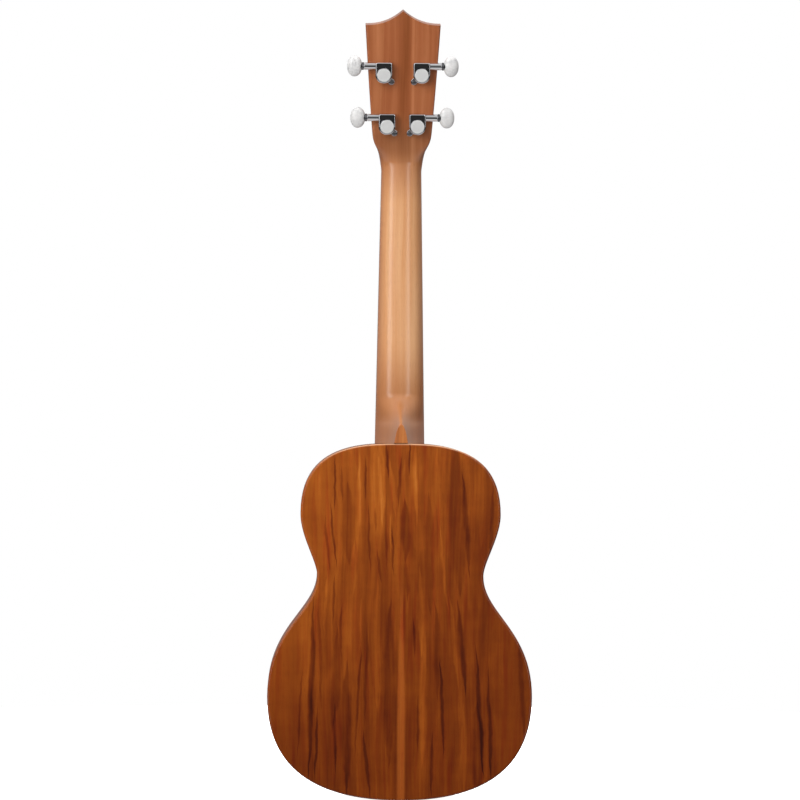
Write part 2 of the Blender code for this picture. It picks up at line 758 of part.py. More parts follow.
# Blocks, shaped to the inside of the sides
core = full_outline(inner)
for label, z_low, z_high in (("neck_block", JOIN_Z - 24.0, JOIN_Z), ("tail_block", -548.0, -530.0)):
    mesh = box((-BLOCK_HALF, 10.0, z_low), (BLOCK_HALF, 60.0, z_high))
    block = add(label, lean(mesh, level(TOP_T + GAP), under_back(BACK_T + GAP)), "inner_wood")
    cut(block, plate(core, -5.0, 90.0), "INTERSECT")
    if label == "neck_block":
        cut(block, box((-TENON_HALF - GAP, 6.0 - GAP, JOIN_Z - 14.0 - GAP),
                       (TENON_HALF + GAP, 44.0 + GAP, JOIN_Z + 9.0)))

# Braces under the soundboard and on the back
under_top = TOP_T + GAP
for label, z, reach in (("top_brace_upper", -284.0, 76.0), ("top_brace_lower", -364.0, 63.0)):
    add(label, box((-reach, under_top, z - 3.0), (reach, under_top + 9.0, z + 3.0)), "inner_wood")
for label, side in (("fan_brace_bass", -1.0), ("fan_brace_treble", 1.0)):
    foot = [(34.0, -368.5), (39.0, -368.5), (57.0, -497.0), (52.0, -497.0)]
    add(label, plate(mirror_x(foot, side), under_top, under_top + 7.0), "inner_wood")
for label, z, reach in (("back_brace_upper", -300.0, 77.0), ("back_brace_lower", -442.0, 104.0)):
    mesh = box((-reach, 20.0, z - 4.0), (reach, 60.0, z + 4.0))
    add(label, lean(mesh, under_back(BACK_T + GAP + 10.0), under_back(BACK_T + GAP)), "inner_wood")
add("bridge_plate", box((-32.0, under_top, -456.0), (32.0, under_top + 2.2, -424.0)), "inner_wood")

# Bridge and saddle
base = box((-BRIDGE_HALF, BRIDGE_BASE, BRIDGE_REAR), (BRIDGE_HALF, -GAP, BRIDGE_FRONT))
bridge = add("bridge", base, "dark_wood")
bevel(bridge, 0.8, 1, 60.0)
cut(bridge, box((-RIDGE_HALF, -7.6, -437.5), (RIDGE_HALF, -1.0, -429.0)), "UNION")
cut(bridge, box((-RIDGE_HALF, -8.0, -452.4), (RIDGE_HALF, -1.0, -443.5)), "UNION")
slot_half = SADDLE_HALF + 0.2
slot_t = SADDLE_T / 2 + 0.2
cut(bridge, box((-slot_half, -9.0, SADDLE_Z - slot_t), (slot_half, -2.6, SADDLE_Z + slot_t)))
for name, x_nut, x_saddle, r in STRINGS:
    hole = rod(TIE_HOLE_R, (x_saddle, TIE_HOLE_Y, BRIDGE_REAR - 2.0), (x_saddle, TIE_HOLE_Y, -440.0), 8)
    cut(bridge, hole)
low = (-SADDLE_HALF, SADDLE_STRING_Y + 0.1, SADDLE_Z - SADDLE_T / 2)
high = (SADDLE_HALF, -2.9, SADDLE_Z + SADDLE_T / 2)
saddle = add("saddle", box(low, high), "bone")
bevel(saddle, 0.5, 2, 60.0)

# Strings
for (name, x_nut, x_saddle, r), (tuner, post_x, post_s) in zip(STRINGS, TUNERS):
    route = string_route(x_nut, x_saddle, r, post_x, post_s)
    cord("string_" + name, route, r, "nylon")

# Tuners: fixed pieces on the headstock, a knob on the worm's axis and a post on the gear's axis
for name, x, s in TUNERS:
    label = "tuner_" + name
    out = 1.0 if x < 0 else -1.0
    frame = empty(label + "_frame", (x, HEAD_T, s), (-math.pi / 2, math.pi, 0.0), head)
    seat = empty(label + "_screw_seat", (-6.65 * out, -6.65, 0.0), parent=frame)
    knob = empty(label + "_knob_frame", (0.0, WORM_OFF, WORM_H), (0.0, out * math.pi / 2, 0.0), frame)
    build_housing(label, frame, knob, out)
    build_cap(label, frame)
    build_screw(label, seat)
    build_bushing(label, frame)
    build_post(label, frame)
    build_gear(label, frame, out)
    build_worm(label, knob)
    build_button(label, knob)

bpy.context.view_layer.update()
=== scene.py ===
"""Looks of the tenor ukulele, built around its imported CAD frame. Geometry below is written in millimetres."""
import json
import math
import bpy
import bmesh
from mathutils import Matrix, Vector

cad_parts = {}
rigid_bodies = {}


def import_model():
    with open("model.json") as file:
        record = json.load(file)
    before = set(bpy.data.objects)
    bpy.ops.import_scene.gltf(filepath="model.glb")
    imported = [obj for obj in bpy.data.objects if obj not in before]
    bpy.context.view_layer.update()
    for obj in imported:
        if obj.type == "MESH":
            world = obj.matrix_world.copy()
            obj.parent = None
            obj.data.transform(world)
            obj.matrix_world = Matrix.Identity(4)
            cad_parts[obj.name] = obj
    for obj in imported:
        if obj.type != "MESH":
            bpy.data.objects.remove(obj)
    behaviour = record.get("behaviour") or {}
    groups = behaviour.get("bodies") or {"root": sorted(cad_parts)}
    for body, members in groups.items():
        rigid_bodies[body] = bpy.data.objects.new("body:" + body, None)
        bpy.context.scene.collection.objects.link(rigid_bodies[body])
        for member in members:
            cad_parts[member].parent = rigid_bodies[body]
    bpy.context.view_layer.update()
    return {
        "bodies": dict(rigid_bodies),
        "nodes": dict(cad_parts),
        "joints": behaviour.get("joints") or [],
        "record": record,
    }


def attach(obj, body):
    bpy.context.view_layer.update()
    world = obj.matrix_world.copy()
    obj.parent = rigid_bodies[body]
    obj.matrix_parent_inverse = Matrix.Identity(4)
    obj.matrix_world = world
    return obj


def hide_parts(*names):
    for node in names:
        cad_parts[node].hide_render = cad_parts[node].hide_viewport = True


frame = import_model()

MM = 0.001
SCALE = 432.0
JOIN_Z = -239.6
TILT = math.radians(12.0)
HEAD_Z = 5.6
HEAD_T = 13.0
HOLE_Z = -324.0
HOLE_R = 33.0
SADDLE_Z = -433.5
TOP_T = 2.2
BACK_T = 2.0
SIDE_T = 2.0
WORM_OFF = 7.4
WORM_H = 4.3
TUBE_END = 17.3
BUTTON_X = 25.5
HEEL_START = -196.0
HEEL_CAP_LEN = 17.0
OUTLINE = (
    (0.0, JOIN_Z, (0.0, 0.0), (32.0, 0.0)),
    (86.3, -300.4, (0.0, 60.8), (0.0, -19.2)),
    (71.6, -353.3, (0.0, 11.7), (0.0, -31.9)),
    (114.0, -457.2, (0.0, 58.3), (0.0, -61.2)),
    (0.0, -546.3, (73.0, 0.0), (0.0, 0.0)),
)
STRINGS = (
    ("g", -13.2, -20.4, 0.37),
    ("c", -4.4, -6.8, 0.495),
    ("e", 4.4, 6.8, 0.405),
    ("a", 13.2, 20.4, 0.33),
)
TUNERS = (
    ("g", -13.25, 35.0),
    ("c", -16.4, 80.0),
    ("e", 16.4, 80.0),
    ("a", 13.25, 35.0),
)
BODY = "instrument"


# ---------------------------------------------------------------- node helpers

class Value:
    """A number that a node makes, with the usual arithmetic."""

    def __init__(self, graph, socket):
        self.graph = graph
        self.socket = socket

    def __add__(self, other):
        return self.graph.math("ADD", self, other)

    def __radd__(self, other):
        return self.graph.math("ADD", other, self)

    def __sub__(self, other):
        return self.graph.math("SUBTRACT", self, other)

    def __rsub__(self, other):
        return self.graph.math("SUBTRACT", other, self)

    def __mul__(self, other):
        return self.graph.math("MULTIPLY", self, other)

    def __rmul__(self, other):
        return self.graph.math("MULTIPLY", other, self)

    def __truediv__(self, other):
        return self.graph.math("DIVIDE", self, other)

    def __abs__(self):
        return self.graph.math("ABSOLUTE", self)


class Graph:
    """Short names for the shader nodes used below."""

    def __init__(self, name):
        self.material = bpy.data.materials.new(name)
        self.material.use_nodes = True
        self.tree = self.material.node_tree
        self.shader = self.tree.nodes["Principled BSDF"]
        self.column = 0

    def node(self, kind):
        made = self.tree.nodes.new(kind)
        self.column += 1
        made.location = (-220 * (self.column % 12) - 300, -180 * (self.column // 12))
        return made

    def put(self, socket, value):
        if isinstance(value, Value):
            value = value.socket
        if isinstance(value, bpy.types.NodeSocket):
            self.tree.links.new(value, socket)
        elif value is not None:
            socket.default_value = value

    def math(self, kind, a, b=None, c=None, clamp=False):
        made = self.node("ShaderNodeMath")
        made.operation = kind
        made.use_clamp = clamp
        for socket, value in zip(made.inputs, (a, b, c)):
            self.put(socket, value)
        return Value(self, made.outputs[0])

    def place(self):
        """Object coordinates split into x, y and z, in millimetres."""
        coords = self.node("ShaderNodeTexCoord")
        scale = self.node("ShaderNodeVectorMath")
        scale.operation = "SCALE"
        self.put(scale.inputs[0], coords.outputs["Object"])
        scale.inputs["Scale"].default_value = 1000.0
        split = self.node("ShaderNodeSeparateXYZ")
        self.put(split.inputs[0], scale.outputs[0])
        return tuple(Value(self, socket) for socket in split.outputs)

    def rise(self):
        """How far the surface faces up the instrument, from -1 to 1."""
        coords = self.node("ShaderNodeTexCoord")
        split = self.node("ShaderNodeSeparateXYZ")
        self.put(split.inputs[0], coords.outputs["Normal"])
        return Value(self, split.outputs[2])

    def vector(self, x, y, z=0.0):
        made = self.node("ShaderNodeCombineXYZ")
        for socket, value in zip(made.inputs, (x, y, z)):
            self.put(socket, value)
        return made.outputs[0]

    def noise(self, vector, scale=1.0, detail=2.0, rough=0.5, warp=0.0):
        made = self.node("ShaderNodeTexNoise")
        self.put(made.inputs["Vector"], vector)
        made.inputs["Scale"].default_value = scale
        made.inputs["Detail"].default_value = detail
        made.inputs["Roughness"].default_value = rough
        made.inputs["Distortion"].default_value = warp
        return Value(self, made.outputs["Fac"])

    def ramp(self, value, stops, kind="LINEAR"):
        made = self.node("ShaderNodeValToRGB")
        made.color_ramp.interpolation = kind
        points = made.color_ramp.elements
        while len(points) < len(stops):
            points.new(0.5)
        for point, (place, colour) in zip(points, stops):
            point.position = place
            point.color = colour if len(colour) == 4 else (*colour, 1.0)
        self.put(made.inputs[0], value)
        return made.outputs["Color"]

    def curve(self, value, stops):
        """A ramp of grey values, read as a number."""
        colour = self.ramp(value, [(place, (level, level, level)) for place, level in stops])
        made = self.node("ShaderNodeSeparateColor")
        self.put(made.inputs[0], colour)
        return Value(self, made.outputs[0])

    def map_range(self, value, from_low, from_high, to_low, to_high, kind="LINEAR"):
        made = self.node("ShaderNodeMapRange")
        made.interpolation_type = kind
        self.put(made.inputs["Value"], value)
        self.put(made.inputs["From Min"], from_low)
        self.put(made.inputs["From Max"], from_high)
        self.put(made.inputs["To Min"], to_low)
        self.put(made.inputs["To Max"], to_high)
        return Value(self, made.outputs["Result"])

    def mix(self, factor, a, b, kind="MIX"):
        made = self.node("ShaderNodeMix")
        made.data_type = "RGBA"
        made.blend_type = kind
        self.put(made.inputs["Factor"], factor)
        self.put(made.inputs["A"], a)
        self.put(made.inputs["B"], b)
        return made.outputs["Result"]

    def bump(self, height, strength, distance):
        made = self.node("ShaderNodeBump")
        made.inputs["Strength"].default_value = strength
        made.inputs["Distance"].default_value = distance
        self.put(made.inputs["Height"], height)
        return made.outputs["Normal"]

    def set(self, **values):
        for name, value in values.items():
            self.put(self.shader.inputs[name.replace("_", " ")], value)
        return self.material


def rgb(red, green, blue):
    """Linear colour of an sRGB one."""
    def line(v):
        v = v / 255.0
        return v / 12.92 if v <= 0.04045 else ((v + 0.055) / 1.055) ** 2.4
    return (line(red), line(green), line(blue), 1.0)


# The wood from its darkest streaks to its palest stripes
BACK_TONES = (
    (0.08, rgb(58, 14, 0)), (0.26, rgb(92, 32, 0)), (0.44, rgb(120, 52, 3)),
    (0.58, rgb(142, 68, 10)), (0.72, rgb(166, 86, 20)), (0.88, rgb(198, 118, 44)))


def grain(graph, across, along, offset=0.0):
    """The bent coordinate, then the broad, streak, pore and curl noises of wood with its grain along."""
    shift = graph.noise(graph.vector(across / 55.0, along / 120.0, offset), 1.0, 2.0)
    bent = across + (shift - 0.5) * 9.0
    broad = graph.noise(graph.vector(bent / 9.0, along / 240.0, offset + 3.0), 1.0, 3.0, 0.55)
    streak = graph.noise(graph.vector(bent / 2.3, along / 110.0, offset + 7.0), 1.0, 3.0, 0.6)
    pore = graph.noise(graph.vector(bent / 0.35, along / 7.0, offset + 11.0), 1.0, 2.0, 0.6)
    curl = graph.noise(graph.vector(across / 30.0, along / 13.0, offset + 17.0), 1.0, 2.0, 0.5)
    return bent, broad, streak, pore, curl


# Figure of the back: a streak's ends as (x, z), its half width, and how dark (+) or pale (-) it is
BACK_STREAKS = (
    # upper bout, bass to treble as seen from the back
    ((57.5, -250.0), (57.0, -298.0), 1.3, 0.55),
    ((60.5, -290.0), (55.0, -348.0), 1.5, 0.50),
    ((65.0, -300.0), (61.0, -352.0), 1.8, 0.32),
    ((52.0, -258.0), (51.0, -292.0), 1.6, 0.28),
    ((46.0, -272.0), (44.0, -345.0), 9.0, 0.20),
    ((35.5, -246.0), (37.0, -338.0), 3.4, -0.22),
    ((39.0, -322.0), (41.0, -372.0), 3.2, -0.24),
    ((31.0, -248.0), (30.0, -290.0), 1.2, 0.42),
    ((27.5, -290.0), (26.0, -352.0), 1.4, 0.34),
    ((21.0, -240.0), (20.0, -345.0), 10.0, -0.20),
    ((16.0, -240.0), (15.5, -312.0), 3.4, -0.24),
    ((13.0, -236.0), (11.0, -270.0), 1.5, 0.52),
    ((10.0, -252.0), (4.5, -304.0), 3.0, -0.34),
    ((-0.5, -250.0), (3.0, -296.0), 2.2, 0.40),
    ((22.0, -294.0), (21.0, -316.0), 1.6, 0.30),
    ((20.5, -330.0), (17.0, -360.0), 1.8, 0.36),
    ((13.0, -280.0), (12.0, -350.0), 1.5, 0.24),
    ((8.5, -300.0), (9.0, -334.0), 1.0, -0.30),
    ((7.2, -308.0), (6.2, -356.0), 1.3, 0.48),
    ((-3.0, -286.0), (-5.0, -342.0), 6.5, 0.34),
    ((-3.5, -250.0), (-2.0, -296.0), 2.4, -0.22),
    ((-7.2, -234.0), (-7.6, -268.0), 1.3, 0.60),
    ((-12.0, -236.0), (-13.5, -310.0), 3.4, -0.36),
    ((-15.0, -298.0), (-16.0, -342.0), 5.0, -0.14),
    ((-31.0, -240.0), (-32.5, -312.0), 3.4, -0.22),
    ((-24.0, -280.0), (-26.0, -390.0), 7.0, 0.22),
    ((-48.0, -236.0), (-52.0, -372.0), 13.0, 0.26),
    ((-53.0, -262.0), (-60.0, -356.0), 3.4, 0.36),
    ((-33.0, -306.0), (-42.0, -392.0), 1.7, -0.26),
    ((-69.0, -246.0), (-70.0, -330.0), 8.0, -0.14),
    ((-80.0, -274.0), (-77.0, -340.0), 2.4, 0.26),
    ((-4.0, -336.0), (-6.5, -376.0), 2.6, 0.26),
    # lower bout
    ((57.5, -352.0), (57.0, -398.0), 1.4, 0.44),
    ((63.0, -348.0), (65.0, -408.0), 2.0, -0.24),
    ((74.0, -368.0), (78.0, -532.0), 3.4, 0.46),
    ((70.0, -372.0), (67.0, -470.0), 2.2, 0.22),
    ((70.5, -466.0), (73.0, -530.0), 1.8, 0.46),
    ((84.0, -432.0), (88.0, -512.0), 1.5, 0.28),
    ((56.0, -462.0), (55.0, -524.0), 2.2, 0.34),
    ((53.0, -396.0), (58.0, -490.0), 6.5, 0.26),
    ((46.0, -424.0), (45.0, -545.0), 6.0, 0.36),
    ((50.0, -376.0), (51.0, -424.0), 1.8, 0.32),
    ((38.5, -456.0), (36.0, -545.0), 3.6, -0.12),
    ((33.0, -372.0), (34.5, -426.0), 1.7, -0.24),
    ((33.5, -404.0), (38.0, -510.0), 1.6, 0.40),
    ((28.0, -392.0), (30.0, -484.0), 2.2, 0.24),
    ((31.0, -484.0), (25.0, -545.0), 2.4, 0.36),
    ((20.0, -352.0), (19.0, -470.0), 4.6, -0.22),
    ((8.0, -372.0), (9.0, -520.0), 8.5, 0.30),
    ((-17.0, -344.0), (-18.5, -424.0), 4.4, -0.34),
    ((-12.0, -388.0), (-12.0, -424.0), 1.6, 0.34),
    ((-21.0, -400.0), (-20.0, -520.0), 5.6, -0.26),
    ((-30.0, -374.0), (-33.0, -462.0), 4.0, 0.24),
    ((-35.0, -420.0), (-38.0, -512.0), 2.2, 0.42),
    ((-42.0, -366.0), (-51.0, -452.0), 2.8, -0.26),
    ((-49.0, -372.0), (-57.0, -458.0), 3.6, 0.40),
    ((-65.0, -410.0), (-73.0, -530.0), 2.6, 0.44),
    ((-76.0, -430.0), (-79.0, -532.0), 2.6, 0.40),
    ((-67.0, -460.0), (-68.0, -548.0), 8.5, 0.26),
    ((-55.0, -462.0), (-56.0, -545.0), 4.4, -0.16),
    ((-15.5, -456.0), (-16.0, -506.0), 1.7, 0.28),
    ((-28.0, -486.0), (-28.0, -545.0), 2.2, 0.32),
    ((-102.0, -396.0), (-108.0, -500.0), 3.2, 0.24),
)


def streaks(graph, across, along, rows):
    """Sum of tapering streaks, positive where dark. A row is a start, an end, a half width and a depth."""
    total = None
    for start, end, half, depth in rows:
        line = graph.map_range(along, start[1], end[1], start[0], end[0])
        length = abs(end[1] - start[1]) / 2.0
        off = abs(along - (start[1] + end[1]) / 2.0)
        taper = graph.map_range(off, length, length * 0.35, 0.02, half)
        near = abs(across - line) / taper
        near = graph.map_range(near, 1.0, 0.2, 0.0, depth, "SMOOTHSTEP")
        total = near if total is None else total + near
    return total


def back_wood(name):
    """Reddish-brown tonewood with an irregular, streaked figure under a gloss lacquer."""
    g = Graph(name)
    m = g.math
    x, y, z = g.place()
    bent, broad, streak, pore, curl = grain(g, x + 130.0, z, 2.0)
    slow = g.noise(g.vector(x / 40.0, z / 34.0, 21.0), 1.0, 2.0)
    quick = g.noise(g.vector(x / 11.0, z / 9.0, 27.0), 1.0, 2.0)
    wander = (slow - 0.5) * 5.0 + (quick - 0.5) * 1.6
    lines = streaks(g, x + wander, z, BACK_STREAKS)
    # Each streak comes and goes along its length
    fade = g.noise(g.vector(bent / 3.5, z / 26.0, 33.0), 1.0, 3.0)
    lines = lines * (0.45 + fade * 1.05)
    lines = m("MAXIMUM", lines, 0.0) + m("MINIMUM", lines, 0.0) * 0.72
    # Painted light: lighter towards the neck and, in the upper bout, towards +X, standing in for light falling
    # from the upper left; also a little darker at the waist
    painted_side_light = g.map_range(z, -400.0, -500.0, 0.0009, -0.0002)
    waist = g.map_range(abs(z + 335.0), 50.0, 5.0, 0.0, 0.035, "SMOOTHSTEP")
    tone = 0.500 - waist + x * painted_side_light
    tone = tone + (z + 400.0) * 0.00074
    # Broad patches wander over the finer streaks
    patch = g.noise(g.vector(bent / 17.0, z / 60.0, 55.0), 1.0, 2.0, 0.5, 0.6)
    calm = g.map_range(abs(x), 74.0, 96.0, 1.0, 0.35, "SMOOTHSTEP")
    figure = (broad - 0.5) * 0.44 + (streak - 0.5) * 0.26
    figure = figure + (patch - 0.5) * 0.30
    tone = tone + figure * calm
    tone = tone + (curl - 0.5) * 0.10
    tone = tone - lines * 0.52
    colour = g.ramp(tone, BACK_TONES)
    # A paler strip widens down the centre joint
    reach = g.map_range(z, -360.0, -480.0, 1.3, 3.6, "SMOOTHSTEP")
    pale = g.map_range(abs(x + 1.3) / reach, 1.25, 0.5, 0.0, 1.0, "SMOOTHSTEP")
    pale = pale * g.map_range(z, -350.0, -400.0, 0.0, 0.58)
    colour = g.mix(pale * (0.5 + broad), colour, rgb(172, 90, 30))
    joint = m("LESS_THAN", abs(x), 0.10)
    colour = g.mix(joint * 0.35, colour, rgb(70, 28, 4))
    # Where the wood turns yellow or red
    hue = g.noise(g.vector(bent / 7.0, z / 90.0, 41.0), 1.0, 2.0)
    colour = g.mix(g.map_range(hue, 0.52, 0.72, 0.0, 0.35), colour, rgb(150, 86, 6), "SOFT_LIGHT")
    colour = g.mix(g.map_range(hue, 0.46, 0.28, 0.0, 0.45), colour, rgb(150, 40, 10), "SOFT_LIGHT")
    flecks = g.curve(pore, [(0.33, 1.0), (0.42, 0.0)])
    colour = g.mix(flecks * 0.22, colour, rgb(52, 18, 2))
    # Painted highlight: the upward-facing rounded rim near the neck is painted pale cream, standing in for
    # light caught on the edge
    painted_rim_highlight = g.map_range(g.rise(), 0.30, 0.75, 0.0, 0.52, "SMOOTHSTEP")
    colour = g.mix(painted_rim_highlight * g.map_range(z, -262.0, -244.0, 0.25, 1.0), colour, rgb(236, 192, 150))
    normal = g.bump(pore + streak * 0.6, 0.05, 0.0002)
    return g.set(Base_Color=colour, Roughness=0.44 + pore * 0.1, Coat_Weight=1.0,
                 Coat_Roughness=0.05, Coat_IOR=1.45, Specular_IOR_Level=0.05, Normal=normal)


def body_wood(name, sides=False, lighter=0.0):
    """The same wood with plain, bookmatched stripes, for the sides and top."""
    g = Graph(name)
    x, y, z = g.place()
    if sides:
        across = y + 40.0
        along = abs(x) - z
    else:
        across = abs(x)
        along = z
    bent, broad, streak, pore, curl = grain(g, across, along, 2.0 + lighter)
    # Main bands from the centre line outwards
    bands = g.curve(bent / 120.0, [
        (0.0, 0.62), (0.03, 0.50), (0.075, 0.60), (0.10, 0.30), (0.125, 0.52), (0.20, 0.62), (0.27, 0.40),
        (0.30, 0.58), (0.36, 0.36), (0.39, 0.52), (0.445, 0.46), (0.468, 0.14), (0.485, 0.40), (0.54, 0.56),
        (0.62, 0.50), (0.655, 0.30), (0.68, 0.52), (0.78, 0.48), (0.86, 0.34), (1.0, 0.44)])
    tone = bands * 0.62 + broad * 0.62
    tone = tone + (streak - 0.5) * 0.42
    tone = tone + (curl - 0.5) * 0.10
    tone = tone - (0.08 - lighter)
    colour = g.ramp(tone, BACK_TONES)
    flecks = g.curve(pore, [(0.33, 1.0), (0.42, 0.0)])
    colour = g.mix(flecks * 0.30, colour, rgb(52, 18, 2))
    normal = g.bump(pore + streak * 0.6, 0.05, 0.0002)
    return g.set(Base_Color=colour, Roughness=0.42 + pore * 0.1, Coat_Weight=0.4,
                 Coat_Roughness=0.05, Coat_IOR=1.45, Specular_IOR_Level=0.1, Normal=normal)


def neck_wood(name):
    """Pale reddish mahogany of the neck, redder and more striped on the headstock, under gloss lacquer."""
    g = Graph(name)
    m = g.math
    x, y, z = g.place()
    bent, broad, streak, pore, curl = grain(g, x + 70.0, z * 0.8, 5.0)
    tone = broad * 0.75 + streak * 0.25
    neck = g.ramp(tone, [(0.28, rgb(196, 132, 83)), (0.5, rgb(209, 151, 103)), (0.72, rgb(220, 170, 125))])
    # Painted shade: the flanks and the heel are darkened, standing in for the shade that falls on them
    painted_flank_shade = g.map_range(abs(x), 12.5, 20.5, 0.0, 0.62, "SMOOTHSTEP")
    neck = g.mix(painted_flank_shade, neck, rgb(158, 100, 74))
    heel = g.map_range(z, -145.0, -215.0, 0.0, 0.80, "SMOOTHSTEP")
    neck = g.mix(heel, neck, rgb(160, 98, 54))
    middle = g.map_range(abs(x + 2.0), 9.0, 2.0, 0.0, 0.09, "SMOOTHSTEP")
    stripe = g.map_range(abs(x + 9.0), 1.8, 0.4, 0.0, 0.10, "SMOOTHSTEP")
    calm = 0.5 + (tone - 0.5) * 0.55
    calm = calm + stripe - middle
    head = g.ramp(calm, [(0.30, rgb(124, 64, 26)), (0.46, rgb(158, 90, 53)), (0.66, rgb(186, 119, 77))])
    upper = g.curve(m("DIVIDE", z + 30.0, 80.0, clamp=True), [(0.0, 0.0), (0.55, 0.75), (1.0, 1.0)])
    colour = g.mix(upper, neck, head)
    # Painted shade: a darker patch where the headstock widens, standing in for the shade under its flare
    painted_throat_shade = g.map_range(abs(z - 21.0), 20.0, 3.0, 0.0, 0.34, "SMOOTHSTEP")
    colour = g.mix(painted_throat_shade, colour, rgb(92, 52, 28))
    flecks = g.curve(pore, [(0.34, 1.0), (0.43, 0.0)])
    colour = g.mix(flecks * 0.14, colour, rgb(104, 56, 26))
    normal = g.bump(pore + streak * 0.5, 0.06, 0.0002)
    return g.set(Base_Color=colour, Roughness=0.40 + pore * 0.12, Coat_Weight=1.0,
                 Coat_Roughness=0.20, Coat_IOR=1.52, Specular_IOR_Level=0.1, Normal=normal)


def plain_wood(name, dark, middle, light, rough, coat=0.0):
    """Straight-grained wood along Z."""
    g = Graph(name)
    x, y, z = g.place()
    bent, broad, streak, pore, curl = grain(g, x + 90.0, z, 9.0)
    tone = broad * 0.5 + streak * 0.5
    colour = g.ramp(tone, [(0.32, dark), (0.5, middle), (0.68, light)])
    flecks = g.curve(pore, [(0.34, 1.0), (0.44, 0.0)])
    colour = g.mix(flecks * 0.35, colour, dark)
    wear = rough - 0.06 + broad * 0.12
    normal = g.bump(pore + streak, 0.12, 0.0003)
    return g.set(Base_Color=colour, Roughness=wear, Coat_Weight=coat, Coat_Roughness=0.06, Normal=normal)


def metal(name, colour, rough, scratch=0.03, grain_scale=(0.6, 0.6, 9.0), shine=1.0):
    """Metal with faint polishing marks and uneven gloss."""
    g = Graph(name)
    x, y, z = g.place()
    fine = g.noise(g.vector(x / grain_scale[0], y / grain_scale[1], z / grain_scale[2]), 1.0, 3.0, 0.6)
    cloud = g.noise(g.vector(x / 6.0, y / 6.0, z / 6.0), 1.0, 2.0, 0.5)
    level = rough + (fine + cloud - 1.0) * scratch
    shade = g.mix(cloud * 0.25, colour, tuple(c * 0.8 for c in colour[:3]) + (1.0,))
    normal = g.bump(fine, 0.04, 0.00005)
    return g.set(Base_Color=shade, Metallic=shine, Roughness=level, Normal=normal)


def pearl(name):
    """Pearly plastic with soft bands of grey and cream."""
    g = Graph(name)
    x, y, z = g.place()
    swirl = g.noise(g.vector(x / 11.0, y / 8.0, z / 5.0), 1.0, 3.0, 0.5, 0.8)
    fine = g.noise(g.vector(x / 1.5, y / 1.5, z / 1.1), 1.0, 2.0)
    tone = swirl * 0.85 + fine * 0.15
    tones = [(0.30, rgb(194, 193, 194)), (0.50, rgb(209, 208, 207)), (0.68, rgb(220, 218, 217))]
    colour = g.ramp(tone, tones)
    return g.set(Base_Color=colour, Roughness=0.22 + fine * 0.1, Coat_Weight=0.4,
                 Coat_Roughness=0.10, Normal=g.bump(swirl, 0.03, 0.0002))


def bone(name):
    g = Graph(name)
    x, y, z = g.place()
    veins = g.noise(g.vector(x / 8.0, y / 1.2, z / 1.2), 1.0, 3.0, 0.6)
    colour = g.ramp(veins, [(0.35, rgb(222, 212, 186)), (0.6, rgb(240, 233, 214))])
    return g.set(Base_Color=colour, Roughness=0.26 + veins * 0.12, Coat_Weight=0.3,
                 Subsurface_Weight=0.1, Subsurface_Scale=0.001, Normal=g.bump(veins, 0.05, 0.0001))


def nylon(name, colour, clear):
    g = Graph(name)
    x, y, z = g.place()
    tint = g.noise(g.vector(x / 2.0, y / 2.0, z / 40.0), 1.0, 2.0)
    shade = g.mix(tint * 0.4, colour, tuple(c * 0.75 for c in colour[:3]) + (1.0,))
    return g.set(Base_Color=shade, Roughness=0.12 + tint * 0.1, IOR=1.53,
                 Transmission_Weight=clear, Coat_Weight=0.3)


# ---------------------------------------------------------------- geometry helpers

def bezier(a, b, c, d, t):
    s = 1.0 - t
    return tuple(s * s * s * p + 3 * s * s * t * q + 3 * s * t * t * r + t * t * t * w
                 for p, q, r, w in zip(a, b, c, d))


def half_outline(inset=0.0, steps=26):
    """Points down the +X side from the neck end to the tail, moved inwards by inset."""
    points = []
    for first, last in zip(OUTLINE, OUTLINE[1:]):
        a = first[:2]
        d = last[:2]
        b = (a[0] + first[3][0], a[1] + first[3][1])
        c = (d[0] + last[2][0], d[1] + last[2][1])
        for i in range(steps):
            points.append(bezier(a, b, c, d, i / steps))
    points.append(OUTLINE[-1][:2])
    moved = []
    for i, (x, z) in enumerate(points):
        before = points[max(i - 1, 0)]
        after = points[min(i + 1, len(points) - 1)]
        run = Vector((after[0] - before[0], after[1] - before[1])).normalized()
        if i == 0:
            run = Vector((1.0, 0.0))
        if i == len(points) - 1:
            run = Vector((-1.0, 0.0))
        moved.append((x + run[1] * inset, z - run[0] * inset))
    return moved


def full_outline(inset=0.0):
    right = half_outline(inset)
    return right + [(-x, z) for x, z in reversed(right[1:-1])]


def back_y(z):
    return 62.0 + (JOIN_Z - z) / 306.7 * 10.0


def smooth(t):
    t = min(max(t, 0.0), 1.0)
    return t * t * (3 - 2 * t)


def head_point(x, n, s):
    """A point n behind the headstock's face and s up it."""
    y = s * math.sin(TILT) + n * math.cos(TILT)
    z = HEAD_Z + s * math.cos(TILT) - n * math.sin(TILT)
    return Vector((x, y, z))


def face_outwards(bm):
    """Turn a closed bmesh's faces outwards, whatever the guess made of them."""
    bmesh.ops.recalc_face_normals(bm, faces=bm.faces)
    if bm.calc_volume(signed=True) < 0.0:
        bmesh.ops.reverse_faces(bm, faces=bm.faces)


def add(name, bm, material, body=BODY, nodes=(), sharp=40.0):
    """Finish a millimetre bmesh as a piece that rides on a body and stands for CAD nodes."""
    bmesh.ops.scale(bm, vec=(MM, MM, MM), verts=bm.verts)
    bmesh.ops.remove_doubles(bm, verts=bm.verts, dist=0.0000002)
    face_outwards(bm)
    mesh = bpy.data.meshes.new(name)
    bm.to_mesh(mesh)
    bm.free()
    mesh.shade_smooth()
    mesh.set_sharp_from_angle(angle=math.radians(sharp))
    mesh.materials.append(material)
    piece = bpy.data.objects.new(name, mesh)
    bpy.context.scene.collection.objects.link(piece)
    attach(piece, body)
    if nodes:
        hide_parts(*nodes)
    return piece


def bevel(piece, width, segments=3, angle=50.0):
    made = piece.modifiers.new("edge", "BEVEL")
    made.width = width * MM
    made.segments = segments
    made.limit_method = "ANGLE"
    made.angle_limit = math.radians(angle)
    made.harden_normals = True


